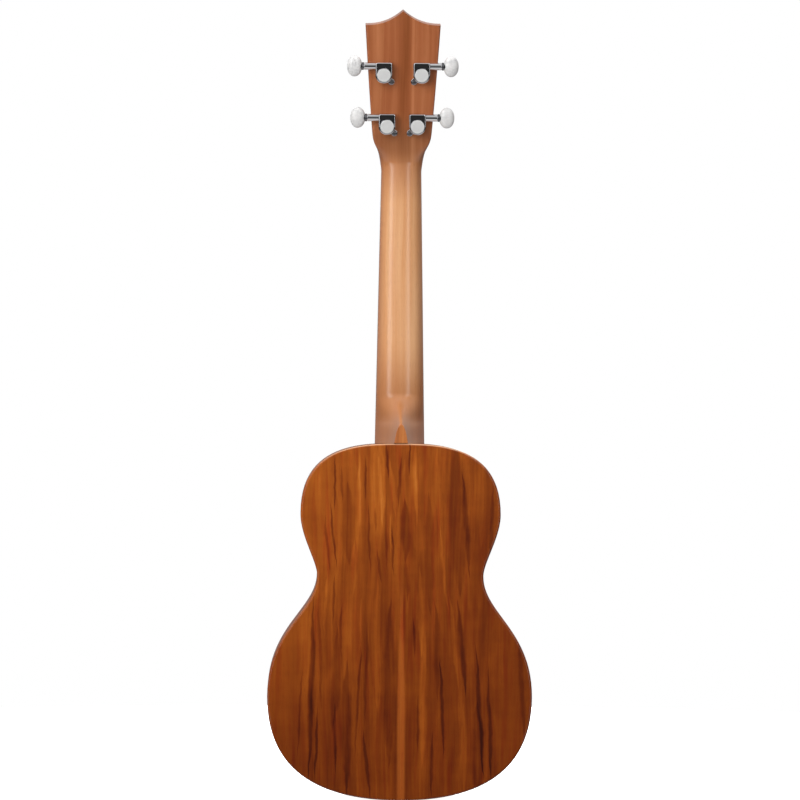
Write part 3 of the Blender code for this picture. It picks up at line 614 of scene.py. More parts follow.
def stack(bm, loops, close=True):
    """Faces between loops of equal length; returns the loops' vertices."""
    layers = [[bm.verts.new(p) for p in loop] for loop in loops]
    count = len(loops[0])
    last = count if close else count - 1
    for low, high in zip(layers, layers[1:]):
        for i in range(last):
            j = (i + 1) % count
            bm.faces.new((low[i], low[j], high[j], high[i]))
    return layers


def loft(bm, rings):
    """Skin a row of rings and close both of its ends."""
    layers = stack(bm, rings)
    bm.faces.new(layers[0])
    bm.faces.new(layers[-1])
    return layers


def circle(radius, z, steps):
    """Points round +Z at one height."""
    turns = [math.tau * i / steps for i in range(steps)]
    return [Vector((radius * math.cos(a), radius * math.sin(a), z)) for a in turns]


def lathe(bm, profile, steps=40, matrix=None):
    """A turned shape about +Z from (radius, z) points."""
    rings = []
    for radius, z in profile:
        radius = max(radius, 0.0005)
        rings.append(circle(radius, z, steps))
    before = set(bm.verts)
    loft(bm, rings)
    if matrix is not None:
        bmesh.ops.transform(bm, matrix=matrix, verts=[v for v in bm.verts if v not in before])


def hollow(bm, profile, steps=40, matrix=None):
    """A turned ring: the profile is a closed loop that doesn't reach the axis."""
    rings = [circle(r, z, steps) for r, z in profile]
    before = set(bm.verts)
    stack(bm, rings + [rings[0]])
    if matrix is not None:
        bmesh.ops.transform(bm, matrix=matrix, verts=[v for v in bm.verts if v not in before])


def block(bm, low, high, matrix=None):
    size = Vector(high) - Vector(low)
    middle = (Vector(high) + Vector(low)) / 2
    place = Matrix.Translation(middle) @ Matrix.Diagonal((*size, 1.0))
    if matrix is not None:
        place = matrix @ place
    return bmesh.ops.create_cube(bm, size=1.0, matrix=place)["verts"]


def prism(bm, points, low, high, rounding=0.0, matrix=None, steps=4):
    """An (x, y) outline raised from one z to another, its upper rim rounded."""
    before = set(bm.verts)
    centre = Vector((sum(p[0] for p in points) / len(points), sum(p[1] for p in points) / len(points)))
    count = len(points)
    normals = []
    for i in range(count):
        a = Vector(points[i - 1])
        b = Vector(points[(i + 1) % count])
        run = (b - a).normalized()
        normal = Vector((run.y, -run.x))
        if normal.dot(Vector(points[i]) - centre) < 0:
            normal = -normal
        normals.append(normal)
    rings = [[Vector((x, y, low)) for x, y in points]]
    for k in range(steps + 1):
        angle = math.pi / 2 * k / steps
        inset = rounding * (1 - math.cos(angle))
        z = high - rounding + rounding * math.sin(angle)
        rings.append([Vector((x - n.x * inset, y - n.y * inset, z)) for (x, y), n in zip(points, normals)])
    loft(bm, rings)
    if matrix is not None:
        bmesh.ops.transform(bm, matrix=matrix, verts=[v for v in bm.verts if v not in before])


def cord(name, points, radius, material, nodes=(), body=BODY):
    """A round string along points, smoothed by a curve."""
    curve = bpy.data.curves.new(name, "CURVE")
    curve.dimensions = "3D"
    curve.bevel_depth = radius * MM
    curve.bevel_resolution = 3
    curve.use_fill_caps = True
    line = curve.splines.new("POLY")
    line.points.add(len(points) - 1)
    for point, place in zip(line.points, points):
        point.co = (*(Vector(place) * MM), 1.0)
    line.use_smooth = True
    curve.materials.append(material)
    piece = bpy.data.objects.new(name, curve)
    bpy.context.scene.collection.objects.link(piece)
    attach(piece, body)
    if nodes:
        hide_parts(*nodes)
    return piece


def catmull(points, steps=6):
    """A smooth line through points."""
    ends = [points[0]] + list(points) + [points[-1]]
    out = []
    for i in range(1, len(ends) - 2):
        p0, p1, p2, p3 = (Vector(p) for p in ends[i - 1:i + 3])
        for k in range(steps):
            t = k / steps
            out.append(0.5 * ((2 * p1) + (p2 - p0) * t + (2 * p0 - 5 * p1 + 4 * p2 - p3) * t * t
                              + (3 * p1 - p0 - 3 * p2 + p3) * t * t * t))
    out.append(Vector(points[-1]))
    return out


# ---------------------------------------------------------------- materials

BACK_WOOD = back_wood("figured_back_wood")
SIDE_WOOD = body_wood("figured_side_wood", sides=True)
TOP_WOOD = body_wood("figured_top_wood", lighter=0.06)
NECK_WOOD = neck_wood("reddish_neck_wood")
CAP_WOOD = plain_wood("heel_cap_wood", rgb(140, 70, 18), rgb(176, 98, 34), rgb(196, 122, 52), 0.4, 1.0)
DARK_WOOD = plain_wood("dark_fingerboard_wood", rgb(34, 22, 17), rgb(58, 38, 28), rgb(84, 56, 40), 0.5)
INNER_WOOD = plain_wood("inner_spruce", rgb(176, 140, 98), rgb(206, 174, 130), rgb(222, 196, 156), 0.72)
CHROME = metal("polished_chrome", (0.72, 0.72, 0.74, 1.0), 0.06, 0.03)
SATIN = metal("satin_cap_metal", (0.74, 0.74, 0.73, 1.0), 0.40, 0.10, shine=0.35)
STEEL = metal("screw_steel", (0.20, 0.20, 0.21, 1.0), 0.30, 0.10)
COLLAR = metal("dark_collar_metal", (0.16, 0.16, 0.17, 1.0), 0.22, 0.08)
BRASS = metal("gear_brass", (0.78, 0.57, 0.22, 1.0), 0.26, 0.08)
FRET_METAL = metal("fret_nickel", (0.76, 0.75, 0.72, 1.0), 0.14, 0.06, (9.0, 0.5, 0.5))
PEARL = pearl("pearl_button_plastic")
BONE = bone("bone_white")
NYLON = nylon("clear_nylon", rgb(226, 222, 208), 0.35)


def carve(piece, shapes):
    """Apply exact Booleans to a piece: (operation, millimetre bmesh) one after another."""
    holders = []
    for how, bm in shapes:
        bmesh.ops.scale(bm, vec=(MM, MM, MM), verts=bm.verts)
        face_outwards(bm)
        mesh = bpy.data.meshes.new("cutter")
        bm.to_mesh(mesh)
        bm.free()
        holder = bpy.data.objects.new("cutter", mesh)
        bpy.context.scene.collection.objects.link(holder)
        holders.append(holder)
        made = piece.modifiers.new("cut", "BOOLEAN")
        made.operation = how
        made.solver = "EXACT"
        made.object = holder
    depsgraph = bpy.context.evaluated_depsgraph_get()
    result = bpy.data.meshes.new_from_object(piece.evaluated_get(depsgraph))
    piece.modifiers.clear()
    old = piece.data
    keep = old.materials[0]
    piece.data = result
    result.materials.clear()
    result.materials.append(keep)
    result.shade_smooth()
    result.set_sharp_from_angle(angle=math.radians(35.0))
    bpy.data.meshes.remove(old)
    result.name = piece.name
    for holder in holders:
        bpy.data.objects.remove(holder, do_unlink=True)
    even = piece.modifiers.new("even_normals", "WEIGHTED_NORMAL")
    even.keep_sharp = True
    return piece


def rod(radius, start, end, steps=32, matrix=None):
    bm = bmesh.new()
    a = Vector(start)
    b = Vector(end)
    place = Matrix.Translation((a + b) / 2) @ (b - a).to_track_quat("Z", "Y").to_matrix().to_4x4()
    if matrix is not None:
        place = matrix @ place
    bmesh.ops.create_cone(bm, cap_ends=True, segments=steps, radius1=radius, radius2=radius,
                          depth=(b - a).length, matrix=place)
    return bm


# ---------------------------------------------------------------- body

def cap_with_holes(bm, outer, holes=()):
    """Fill a flat face bounded by one ring of vertices and pierced by others."""
    edges = []
    for ring in (outer, *holes):
        for i, vertex in enumerate(ring):
            mate = ring[(i + 1) % len(ring)]
            edge = bm.edges.get((vertex, mate)) or bm.edges.new((vertex, mate))
            edges.append(edge)
    bmesh.ops.triangle_fill(bm, use_beauty=True, use_dissolve=False, edges=edges)


def board(name, outer_y, inner_y, rounding, material, nodes, hole=None):
    """A plate of the body's outline, its outer rim rounded; outer_y and inner_y give Y at z."""
    bm = bmesh.new()
    sign = 1.0 if outer_y(-400.0) > inner_y(-400.0) else -1.0
    loops = [[(x, inner_y(z), z) for x, z in full_outline(0.6)],
             [(x, inner_y(z), z) for x, z in full_outline(0.0)]]
    for k in range(7):
        angle = math.pi / 2 * k / 6
        inset = rounding * (1.0 - math.cos(angle))
        rise = rounding - rounding * math.sin(angle)
        loops.append([(x, outer_y(z) - sign * rise, z) for x, z in full_outline(inset)])
    loops.append([(x, outer_y(z), z) for x, z in full_outline(rounding + 0.6)])
    layers = stack(bm, loops)
    if hole is None:
        bm.faces.new(layers[0])
        bm.faces.new(layers[-1])
    else:
        radius, centre = hole
        edge = 0.35
        thick = abs(outer_y(centre) - inner_y(centre))
        profile = [(radius + edge, 0.0), (radius + 0.1, 0.1), (radius, edge), (radius, thick - edge),
                   (radius + 0.1, thick - 0.1), (radius + edge, thick)]
        walls = []
        for r, depth in profile:
            walls.append([(r * math.cos(math.tau * i / 96), outer_y(centre) - sign * depth,
                           centre + r * math.sin(math.tau * i / 96)) for i in range(96)])
        rings = stack(bm, walls)
        cap_with_holes(bm, layers[-1], [rings[0]])
        cap_with_holes(bm, layers[0], [rings[-1]])
    return add(name, bm, material, nodes=nodes, sharp=50.0)


def slide(a, b, x):
    t = (x - a[0]) / (b[0] - a[0])
    return (x, a[1] + (b[1] - a[1]) * t)


def wall_line(inset, from_x, to_x):
    """The outline of one side from x = from_x at the neck to x = to_x at the tail."""
    line = half_outline(inset)
    middle = len(line) // 2
    first = next(i for i in range(middle) if line[i][0] > from_x + 0.2)
    last = next(i for i in range(len(line) - 1, middle, -1) if line[i][0] > to_x + 0.2)
    return [slide(line[first - 1], line[first], from_x)] + line[first:last + 1] + [
        slide(line[last + 1], line[last], to_x)]


def side_wall(label, side):
    bm = bmesh.new()
    outer = [(x * side, z) for x, z in wall_line(0.0, 7.3, 0.1)]
    inner = [(x * side, z) for x, z in wall_line(SIDE_T, 7.3, 0.1)]
    low = TOP_T + 0.03

    def high(z):
        return back_y(z) - BACK_T - 0.03
    loops = ([(x, low, z) for x, z in outer], [(x, (low + high(z)) / 2, z) for x, z in outer],
             [(x, high(z), z) for x, z in outer], [(x, high(z), z) for x, z in inner],
             [(x, (low + high(z)) / 2, z) for x, z in inner], [(x, low, z) for x, z in inner],
             [(x, low, z) for x, z in outer])
    layers = stack(bm, loops, close=False)
    for i in (0, -1):
        bm.faces.new([layer[i] for layer in layers[:-1]])
    return add("side_wall_" + label, bm, SIDE_WOOD, nodes=("side_" + label,), sharp=50.0)


board("back", back_y, lambda z: back_y(z) - BACK_T, 1.7, BACK_WOOD, ("back_bass", "back_treble"))
board("top", lambda z: 0.0, lambda z: TOP_T, 1.5, TOP_WOOD, ("soundboard",), (HOLE_R, HOLE_Z))
side_wall("bass", -1.0)
side_wall("treble", 1.0)


# ---------------------------------------------------------------- neck, headstock and heel

def head_width(s):
    """Half width of the headstock at s up its face."""
    table = ((-40.0, 18.0), (-6.0, 17.8), (0.0, 18.1), (5.0, 19.1), (10.0, 20.4), (15.0, 22.4), (20.0, 24.5),
             (24.0, 25.5), (30.0, 26.1), (57.0, 28.2), (92.0, 30.7), (122.0, 32.6), (150.0, 32.8))
    for (a, wa), (b, wb) in zip(table, table[1:]):
        if s <= b:
            return wa + (wb - wa) * (s - a) / (b - a)
    return table[-1][1]


def soft_head_width(s):
    """The same, with its bends eased."""
    return sum(head_width(s + d) * w for d, w in ((-3.0, 0.25), (0.0, 0.5), (3.0, 0.25)))


def crown_s(a):
    """Height of the crown's edge at a, from 0 at the middle to 1 at a corner."""
    a = min(a, 1.0)
    return 122.6 + 12.3 * (1.0 - a) ** 2.35


def neck_half(z):
    """Half width of the neck at z."""
    return (35.0 + (43.3 - 35.0) * min(max(-z / 239.6, 0.0), 1.12)) / 2


def heel_ridge(z, depth):
    """How deep the heel's ridge lies at z: it grows past the back, whose plane cuts it to a tongue."""
    tip = JOIN_Z + HEEL_CAP_LEN
    t = min(max((HEEL_START - z) / (HEEL_START - tip), 0.0), 1.0)
    floor = back_y(z) - 2.0
    return depth + (floor - depth) * t * t * (3.0 - t) / 2.0 + 2.2 * max(tip - z, 0.0)


def heel_flank(z, half, v):
    """Half width of the heel at z, v of the way in to its ridge."""
    tip = JOIN_Z + HEEL_CAP_LEN
    t = min(max((HEEL_START - z) / (HEEL_START - tip), 0.0), 1.0)
    t = smooth(t)
    foot = smooth((tip - z) / HEEL_CAP_LEN)
    blunt = 2.9 * t + 0.5 * foot
    side = (half - blunt) * (1.0 - v ** (2.3 - 1.05 * t)) ** (0.435 + 1.265 * t + 0.7 * foot)
    return side + blunt * math.sqrt(1.0 - v ** 8)


def neck_depth(z):
    return 13.4 + 2.4 * min(max(-z / 220.0, 0.0), 1.0)


def heel_half(z):
    """Half width of the heel's end face: a tongue that widens towards the body."""
    reach = (back_y(z) - 2.0) / heel_ridge(z, neck_depth(z))
    return heel_flank(z, neck_half(z), min(reach, 1.0))


def heel_round(z, half, depth, u):
    """Point (x, depth) at u round one side of the heel at z, from 0 in front to 1 on the centre line."""
    ridge = heel_ridge(z, depth)
    reach = min((back_y(z) - 2.0) / ridge, 1.0)
    if reach < 1.0 and u > 0.9:
        return heel_flank(z, half, reach) * (1.0 - u) / 0.1, reach * ridge
    if reach < 1.0:
        u = u / 0.9 * math.asin(reach ** 1.15) / (math.pi / 2)
    v = min(math.sin(u * math.pi / 2) ** (1.0 / 1.15), reach)
    return heel_flank(z, half, v), v * ridge


SECTION = 40


def box_section(half, depth, corner=1.6):
    """Points round the back of the headstock, from one front corner to the other."""
    points = []
    for i in range(6):
        points.append((half, (depth - corner) * i / 6))
    for i in range(5):
        angle = math.pi / 2 * i / 5
        points.append((half - corner + corner * math.cos(angle), depth - corner + corner * math.sin(angle)))
    for i in range(10):
        points.append(((half - corner) * (1 - i / 9.0), depth))
    # 21 points down to the middle, then mirrored
    return points + [(-x, d) for x, d in reversed(points[:-1])]


def neck_section(z):
    """Points (x, depth) at z, from the +X front corner round the back to the -X one."""
    head = smooth((z - 1.0) / 22.0)
    s = (z - HEAD_Z) / math.cos(TILT) + 2.8
    half = neck_half(z) if z < -4.0 else soft_head_width(s) if z > 4.0 else (
        neck_half(z) + (soft_head_width(s) - neck_half(z)) * smooth((z + 4.0) / 8.0))
    depth = neck_depth(z)
    depth = depth + (HEAD_T - depth) * head
    square = box_section(half, depth)
    points = []
    for k in range(SECTION + 1):
        u = 1.0 - abs(1.0 - 2.0 * k / SECTION)
        side = 1.0 if k <= SECTION / 2 else -1.0
        angle = u * math.pi / 2
        x = side * half * math.cos(angle) ** (2.0 / 2.3) if u < 1.0 else 0.0
        d = depth * math.sin(angle) ** (2.0 / 2.3)
        x += (square[k][0] - x) * head
        d += (square[k][1] - d) * head
        if z < HEEL_START:
            x, d = heel_round(z, half, depth, u)
            x *= side
        points.append((x, d))
    return points


def outline_z(x):
    """Where the body's edge lies beside the heel."""
    line = half_outline(-0.1)
    for a, b in zip(line, line[1:]):
        if a[0] <= abs(x) <= b[0]:
            return slide(a, b, abs(x))[1]
    return line[0][1]


def build_neck():
    bm = bmesh.new()
    rows = []

    def row(points, place):
        back = [place(x, d) for x, d in points]
        front = [place(x, 0.0) for x, d in points]
        rows.append((back, front))
    # The heel's end follows the body's edge
    last = neck_section(JOIN_Z)
    row(last, lambda x, d: Vector((x, d, outline_z(x))))
    levels = [-238.6 + 1.0 * i for i in range(50)]
    levels += [-188.0, -184.0, -178.0]
    levels += [-170.0 + 14.0 * i for i in range(12)]
    for z in levels:
        row(neck_section(z), lambda x, d, z=z: Vector((x, d, z)))
    along = [-9.0 + 1.6 * i for i in range(30)] + [42.0 + 5.0 * i for i in range(12)]
    for q in along:
        tilt = TILT * smooth((q + 8.0) / 20.0)
        foot = Vector((0.0, 0.0, HEAD_Z + q)) if q < 0 else head_point(0.0, 0.0, q)
        z = foot.z - HEAD_T * math.sin(tilt)

        def place(x, d, foot=foot, tilt=tilt):
            return foot + Vector((x, d * math.cos(tilt), -d * math.sin(tilt)))
        row(neck_section(z), place)
    # Towards the crown the rows bend from straight to the crown's three points
    start = along[-1]
    reach = 8
    for i in range(1, reach + 1):
        share = i / reach
        half = soft_head_width(start + (122.6 - start) * share)
        points = box_section(half, HEAD_T)

        def crown(x, d, half=half, share=share):
            s = start + (crown_s(abs(x) / half) - start) * share
            return head_point(x, d, s)
        row(points, crown)
    layers = stack(bm, [back + list(reversed(front))[1:-1] for back, front in rows])
    count = SECTION + 1
    for layer in (layers[0], layers[-1]):
        back = layer[:count]
        front = [layer[count - 1]] + layer[count:] + [layer[0]]
        front = list(reversed(front))
        # A column's face runs from the back to the front, and the outer ones take in the flat sides' points
        wide = [i for i in range(SECTION) if (front[i + 1].co - front[i].co).length > 0.001]
        for i in wide:
            first = 0 if i == wide[0] else i
            last = SECTION if i == wide[-1] else i + 1
            corners = back[first:last + 1]
            corners += [v for v in (front[i + 1], front[i]) if v not in corners]
            bm.faces.new(corners)
    neck = add("neck_and_headstock", bm, NECK_WOOD, nodes=("neck",), sharp=38.0)
    bevel(neck, 0.45, 3, 50.0)
    cuts = [("UNION", tenon())]
    for name, x, s in TUNERS:
        cuts.append(("DIFFERENCE", rod(4.35, head_point(x, -3.0, s), head_point(x, HEAD_T + 3.0, s), 40)))
    carve(neck, cuts)
    return neck


def tenon():
    bm = bmesh.new()
    block(bm, (-7.0, 6.0, JOIN_Z - 14.0), (7.0, 44.0, JOIN_Z + 6.0))
    return bm


build_neck()


def build_heel_cap():
    """A tongue of wood on the heel's end, level with the back."""
    bm = bmesh.new()
    side = []
    steps = 24
    for i in range(steps + 1):
        z = JOIN_Z + 0.35 + (HEEL_CAP_LEN - 0.5) * i / steps
        side.append((heel_half(z) + 0.1, z))
    outline = side + [(-x, z) for x, z in reversed(side)]
    centre = Vector((0.0, JOIN_Z + 7.0))
    loops = []
    for inset, depth in ((0.0, 2.0), (0.0, 0.7), (0.12, 0.3), (0.4, 0.06), (0.8, 0.0), (1.4, 0.0)):
        loop = []
        for x, z in outline:
            away = z - centre.y
            x2 = x * (1.0 - inset / 9.0)
            z2 = z - inset * away / 10.0
            loop.append((x2, back_y(z2) - depth, z2))
        loops.append(loop)
    loft(bm, loops)
    add("heel_cap_plate", bm, CAP_WOOD, nodes=("heel_cap",), sharp=60.0)


build_heel_cap()


# ---------------------------------------------------------------- fretboard, nut, bridge and saddle

FRET_Z = [-SCALE * (1.0 - 2.0 ** (-k / 12.0)) for k in range(1, 19)]


def build_fretboard():
    bm = bmesh.new()
    loops = []
    stations = [-0.2] + [-12.0 * i for i in range(1, 24)] + [-286.0]
    for z in stations:
        half = neck_half(z)
        loops.append([(-half, -0.05, z), (half, -0.05, z), (half, -5.0, z), (half - 0.3, -5.3, z),
                      (-half + 0.3, -5.3, z), (-half, -5.0, z)])
    loft(bm, loops)
    add("fingerboard", bm, DARK_WOOD, nodes=("fretboard",), sharp=30.0)
    for number, z in enumerate(FRET_Z, 1):
        half = neck_half(z) - 0.15
        bm = bmesh.new()
        loops = []
        for x, size in ((-half, 0.55), (-half + 0.25, 0.85), (-half + 0.7, 1.0), (half - 0.7, 1.0),
                        (half - 0.25, 0.85), (half, 0.55)):
            loop = [(x, -5.1, z - 1.1 * size), (x, -5.1, z + 1.1 * size)]
            for k in range(9):
                angle = math.pi * k / 8
                loop.append((x, -5.3 - 1.0 * size * math.sin(angle), z + 1.05 * size * math.cos(angle)))
            loops.append(loop)
        loft(bm, loops)
        add("fret_%02d" % number, bm, FRET_METAL, sharp=45.0)


def dot(name, x, z, y_face, radius, direction):
    """A small round inlay, flush with a face whose outward direction is given."""
    bm = bmesh.new()
    axis = Vector(direction)
    place = Matrix.Translation((x, y_face, z)) @ axis.to_track_quat("Z", "Y").to_matrix().to_4x4()
    lathe(bm, ((radius, -0.8), (radius, 0.0), (radius - 0.1, 0.045), (0.0, 0.05)), 32, place)
    add(name, bm, PEARL, sharp=50.0)


def build_dots():
    bounds = [0.0] + FRET_Z
    for fret in (5, 7, 10, 12, 15):
        z = (bounds[fret - 1] + bounds[fret]) / 2
        spots = (-8.0, 8.0) if fret == 12 else (0.0,)
        for i, x in enumerate(spots):
            dot("face_dot_%02d_%d" % (fret, i), x, z, -5.3, 2.6, (0, -1, 0))
            side_z = z + (i - 0.5 * (len(spots) - 1)) * 5.0
            dot("side_dot_%02d_%d" % (fret, i), -neck_half(z), side_z, -2.6, 1.0, (-1, 0, 0))


def build_nut():
    bm = bmesh.new()
    block(bm, (-17.5, -7.9, 0.02), (17.5, -0.05, 5.0))
    nut = add("string_nut", bm, BONE, nodes=("nut",))
    bevel(nut, 0.7, 4, 60.0)
    cuts = []
    for name, x, far, r in STRINGS:
        cuts.append(("DIFFERENCE", rod(r + 0.1, (x, -6.9 - r, -2.0), (x, -6.9 - r, 7.0), 20)))
        slot = bmesh.new()
        block(slot, (x - r - 0.1, -9.0, -2.0), (x + r + 0.1, -6.9 - r, 7.0))
        cuts.append(("DIFFERENCE", slot))
    carve(nut, cuts)


def build_bridge():
    bm = bmesh.new()
    # Wings swell into the middle
    loops = []
    stations = []
    for i in range(41):
        x = -46.0 + 92.0 * i / 40
        a = abs(x)
        rise = smooth((34.0 - a) / 5.0)
        stations.append((x, rise))
    for x, rise in stations:
        end = 1.0 - 0.35 * max(abs(x) - 44.0, 0.0) / 2.0
        front = -428.0
        rear = -453.0
        base = -3.3 * end
        saddle_top = base + (-7.6 - base) * rise
        block_top = base + (-8.0 - base) * rise
        loops.append([(x, -0.1, rear), (x, block_top * 0.93, rear), (x, block_top, rear + 0.6),
                      (x, block_top, -444.6), (x, block_top * 0.96, -444.0), (x, base - 0.9 * rise, -443.4),
                      (x, base, -441.0), (x, base - 0.9 * rise, -438.2), (x, saddle_top * 0.96, -437.6),
                      (x, saddle_top, -436.9), (x, saddle_top, -429.8), (x, saddle_top * 0.93, -429.0),
                      (x, base * 0.9, front), (x, -0.1, front)])
    loft(bm, loops)
    bridge = add("bridge_block", bm, DARK_WOOD, nodes=("bridge",))
    slot = bmesh.new()
    block(slot, (-30.0, -9.0, SADDLE_Z - 1.3), (30.0, -2.6, SADDLE_Z + 1.3))
    cuts = [("DIFFERENCE", slot)]
    for name, near, x, r in STRINGS:
        cuts.append(("DIFFERENCE", rod(0.85, (x, -5.2, -455.0), (x, -5.2, -440.0), 20)))
    carve(bridge, cuts)
    bm = bmesh.new()
    block(bm, (-29.8, -10.85, SADDLE_Z - 1.2), (29.8, -2.9, SADDLE_Z + 1.2))
    saddle = add("bridge_saddle", bm, BONE, nodes=("saddle",))
    bevel(saddle, 0.75, 4, 60.0)
    # Two strips of bone cap the tie block's edges
    for label, z in (("rear", -451.4), ("front", -445.2)):
        bm = bmesh.new()
        block(bm, (-28.6, -8.35, z - 0.8), (28.6, -7.6, z + 0.8))
        strip = add("tie_strip_" + label, bm, BONE)
        bevel(strip, 0.2, 2, 60.0)


ROSETTE_IN = HOLE_R + 4.0
ROSETTE_WIDE = 7.0


def build_rosette():
    """Rings let into the soundboard round the hole."""
    bm = bmesh.new()
    turn = Matrix.Translation((0.0, 0.0, HOLE_Z)) @ Matrix.Rotation(math.pi / 2, 4, "X")
    outer = ROSETTE_IN + ROSETTE_WIDE
    hollow(bm, ((ROSETTE_IN, -0.6), (ROSETTE_IN, 0.03), (outer, 0.03), (outer, -0.6)), 128, turn)
    add("rosette", bm, ROSETTE, sharp=50.0)


ROSETTE_G = Graph("rosette_inlay")
ROSETTE = ROSETTE_G.material


def paint_rosette(g):
    m = g.math
    x, y, z = g.place()
    dz = z - HOLE_Z
    radius = m("SQRT", x * x + dz * dz)
    turn = m("ARCTAN2", x, dz)
    across = (radius - ROSETTE_IN) / ROSETTE_WIDE
    cream = rgb(214, 190, 148)
    dark = rgb(30, 18, 12)
    red = rgb(120, 50, 24)
    bands = [(0.0, dark), (0.10, cream), (0.18, dark), (0.24, red), (0.76, dark), (0.82, cream), (0.90, dark)]
    rings = g.ramp(across, bands, "CONSTANT")
    chips = m("GREATER_THAN", m("SINE", turn * 60.0), 0.0)
    middle = m("GREATER_THAN", across, 0.36) * m("LESS_THAN", across, 0.64)
    colour = g.mix(middle * (0.15 + chips * 0.8), rings, rgb(196, 150, 96))
    fine = g.noise(g.vector(turn * 30.0, radius), 1.0, 3.0)
    colour = g.mix(fine * 0.35, colour, rgb(60, 34, 20))
    g.set(Base_Color=colour, Roughness=0.25 + fine * 0.2, Coat_Weight=0.8,
          Coat_Roughness=0.05, Normal=g.bump(fine, 0.05, 0.0001))


paint_rosette(ROSETTE_G)
build_fretboard()
build_dots()
build_nut()
build_bridge()
build_rosette()


# ---------------------------------------------------------------- strings

def string_route(x_nut, x_saddle, radius, post_x, post_s):
    """From the tie block, over the saddle and nut, to two and a half turns round the post."""
    side = 1.0 if post_x > 0 else -1.0
    r = radius
    tied = [(x_saddle + 3.6, -8.45 - r, -445.6), (x_saddle + 3.0, -8.5 - r, -447.6),
            (x_saddle + 2.2, -8.5 - r, -450.0), (x_saddle + 2.0, -8.3 - r, -452.2),
            (x_saddle + 1.6, -7.3 - r * 0.5, -453.5 - r), (x_saddle + 0.9, -6.2, -453.8 - r),
            (x_saddle + 0.25, -5.4, -453.5 - r), (x_saddle, -5.2, -452.4), (x_saddle, -5.2, -448.0),
            (x_saddle, -5.2, -443.6), (x_saddle, -5.6, -441.6)]
    line = catmull(tied, 5)
    line.append(Vector((x_saddle, -10.95 - r + 0.25, SADDLE_Z - 1.5)))
    line.append(Vector((x_saddle, -10.95 - r, SADDLE_Z - 0.5)))
    line.append(Vector((x_saddle, -10.95 - r, SADDLE_Z + 0.5)))
    line.append(Vector((x_nut, -6.9 - r, -0.4)))
    line.append(Vector((x_nut, -6.9 - r, 4.6)))
    coil = 2.4 + 0.26 + r
    pitch = 2 * r + 0.12
    steps = 28
    first_n = -5.75
    for i in range(int(2.5 * steps) + 1):
        angle = math.tau * i / steps
        n = first_n - pitch * i / steps
        line.append(head_point(post_x - side * math.cos(angle) * coil, n, post_s + math.sin(angle) * coil))
    return line


for (name, x_nut, x_saddle, r), (tuner, post_x, post_s) in zip(STRINGS, TUNERS):
    cord("nylon_" + name, string_route(x_nut, x_saddle, r, post_x, post_s), r, NYLON, ("string_" + name,))


# ---------------------------------------------------------------- tuners

def housing_outline():
    points = []
    for i in range(33):
        angle = math.pi + math.pi * i / 32
        points.append((7.3 * math.cos(angle), 7.3 * math.sin(angle)))
    for cx, start in ((5.5, 0.0), (-5.5, math.pi / 2)):
        for i in range(7):
            angle = start + math.pi / 2 * i / 6
            points.append((cx + 1.8 * math.cos(angle), 9.1 + 1.8 * math.sin(angle)))
    return points


def ear_outline(out):
    points = []
    for i in range(17):
        angle = math.radians(135.0) + math.pi * i / 16
        points.append((-6.65 + 2.7 * math.cos(angle), -6.65 + 2.7 * math.sin(angle)))
    points += [(0.0, -3.8), (-3.8, 0.0)]
    return [(x * out, y) for x, y in points]


def shape(maker, *args, **values):
    bm = bmesh.new()
    maker(bm, *args, **values)
    return bm


def build_housing(label, frame, knob, out):
    bm = shape(prism, housing_outline(), 0.05, 8.4, 0.9, frame, 5)
    housing = add(label + "_case", bm, CHROME, nodes=(label + "_housing",))
    tube = ((3.15, 4.0), (3.15, TUBE_END - 0.35), (3.05, TUBE_END - 0.1), (2.8, TUBE_END))
    carve(housing, [
        ("UNION", shape(prism, ear_outline(out), 0.06, 1.9, 0.45, frame)),
        ("UNION", shape(lathe, tube, 40, knob)),
        ("DIFFERENCE", rod(1.3, (-6.65 * out, -6.65, -1.0), (-6.65 * out, -6.65, 4.0), 24, frame)),
        ("DIFFERENCE", rod(6.45, (0, 0, -1.0), (0, 0, 6.2), 48, frame)),
        ("DIFFERENCE", rod(2.08, (0, 0, 5.0), (0, 0, 9.0), 24, frame)),
        ("DIFFERENCE", rod(6.3, (0, 0, 7.4), (0, 0, 9.0), 64, frame)),
        ("DIFFERENCE", rod(2.8, (0, 0, -8.0), (0, 0, 6.3), 32, knob)),
        ("DIFFERENCE", rod(2.04, (0, 0, 5.0), (0, 0, 18.0), 32, knob)),
    ])


def build_cap(label, frame):
    """A satin disc with a bright rim and a shallow ring."""
    bm = bmesh.new()
    profile = ((5.85, 7.72), (5.85, 8.7), (5.6, 8.78), (4.8, 8.8), (4.7, 8.72), (4.5, 8.72),
               (4.4, 8.8), (0.0, 8.84))
    lathe(bm, profile, 64, frame)
    add(label + "_cap_face", bm, SATIN, nodes=(label + "_cap",), sharp=30.0)
    bm = bmesh.new()
    hollow(bm, ((5.9, 7.72), (5.9, 8.72), (5.96, 8.80), (6.08, 8.80), (6.2, 8.6), (6.2, 7.72)), 64, frame)
    add(label + "_cap_rim", bm, CHROME, sharp=50.0)


def build_screw(label, seat):
    bm = bmesh.new()
    top = 1.95
    profile = [(0.9, -8.0), (1.0, -7.4), (1.0, top), (1.95, top)]
    for k in range(7):
        angle = math.pi / 2 * k / 6
        profile.append((1.95 * math.cos(angle), top + 0.25 + 1.05 * math.sin(angle)))
    lathe(bm, profile, 36, seat)
    screw = add(label + "_wood_screw", bm, STEEL, nodes=(label + "_screw",))
    cuts = []
    for turn in (0.35, 0.35 + math.pi / 2):
        place = seat @ Matrix.Rotation(turn, 4, "Z")
        cuts.append(("DIFFERENCE", shape(block, (-1.15, -0.2, top + 0.65), (1.15, 0.2, top + 2.0), place)))
    carve(screw, cuts)


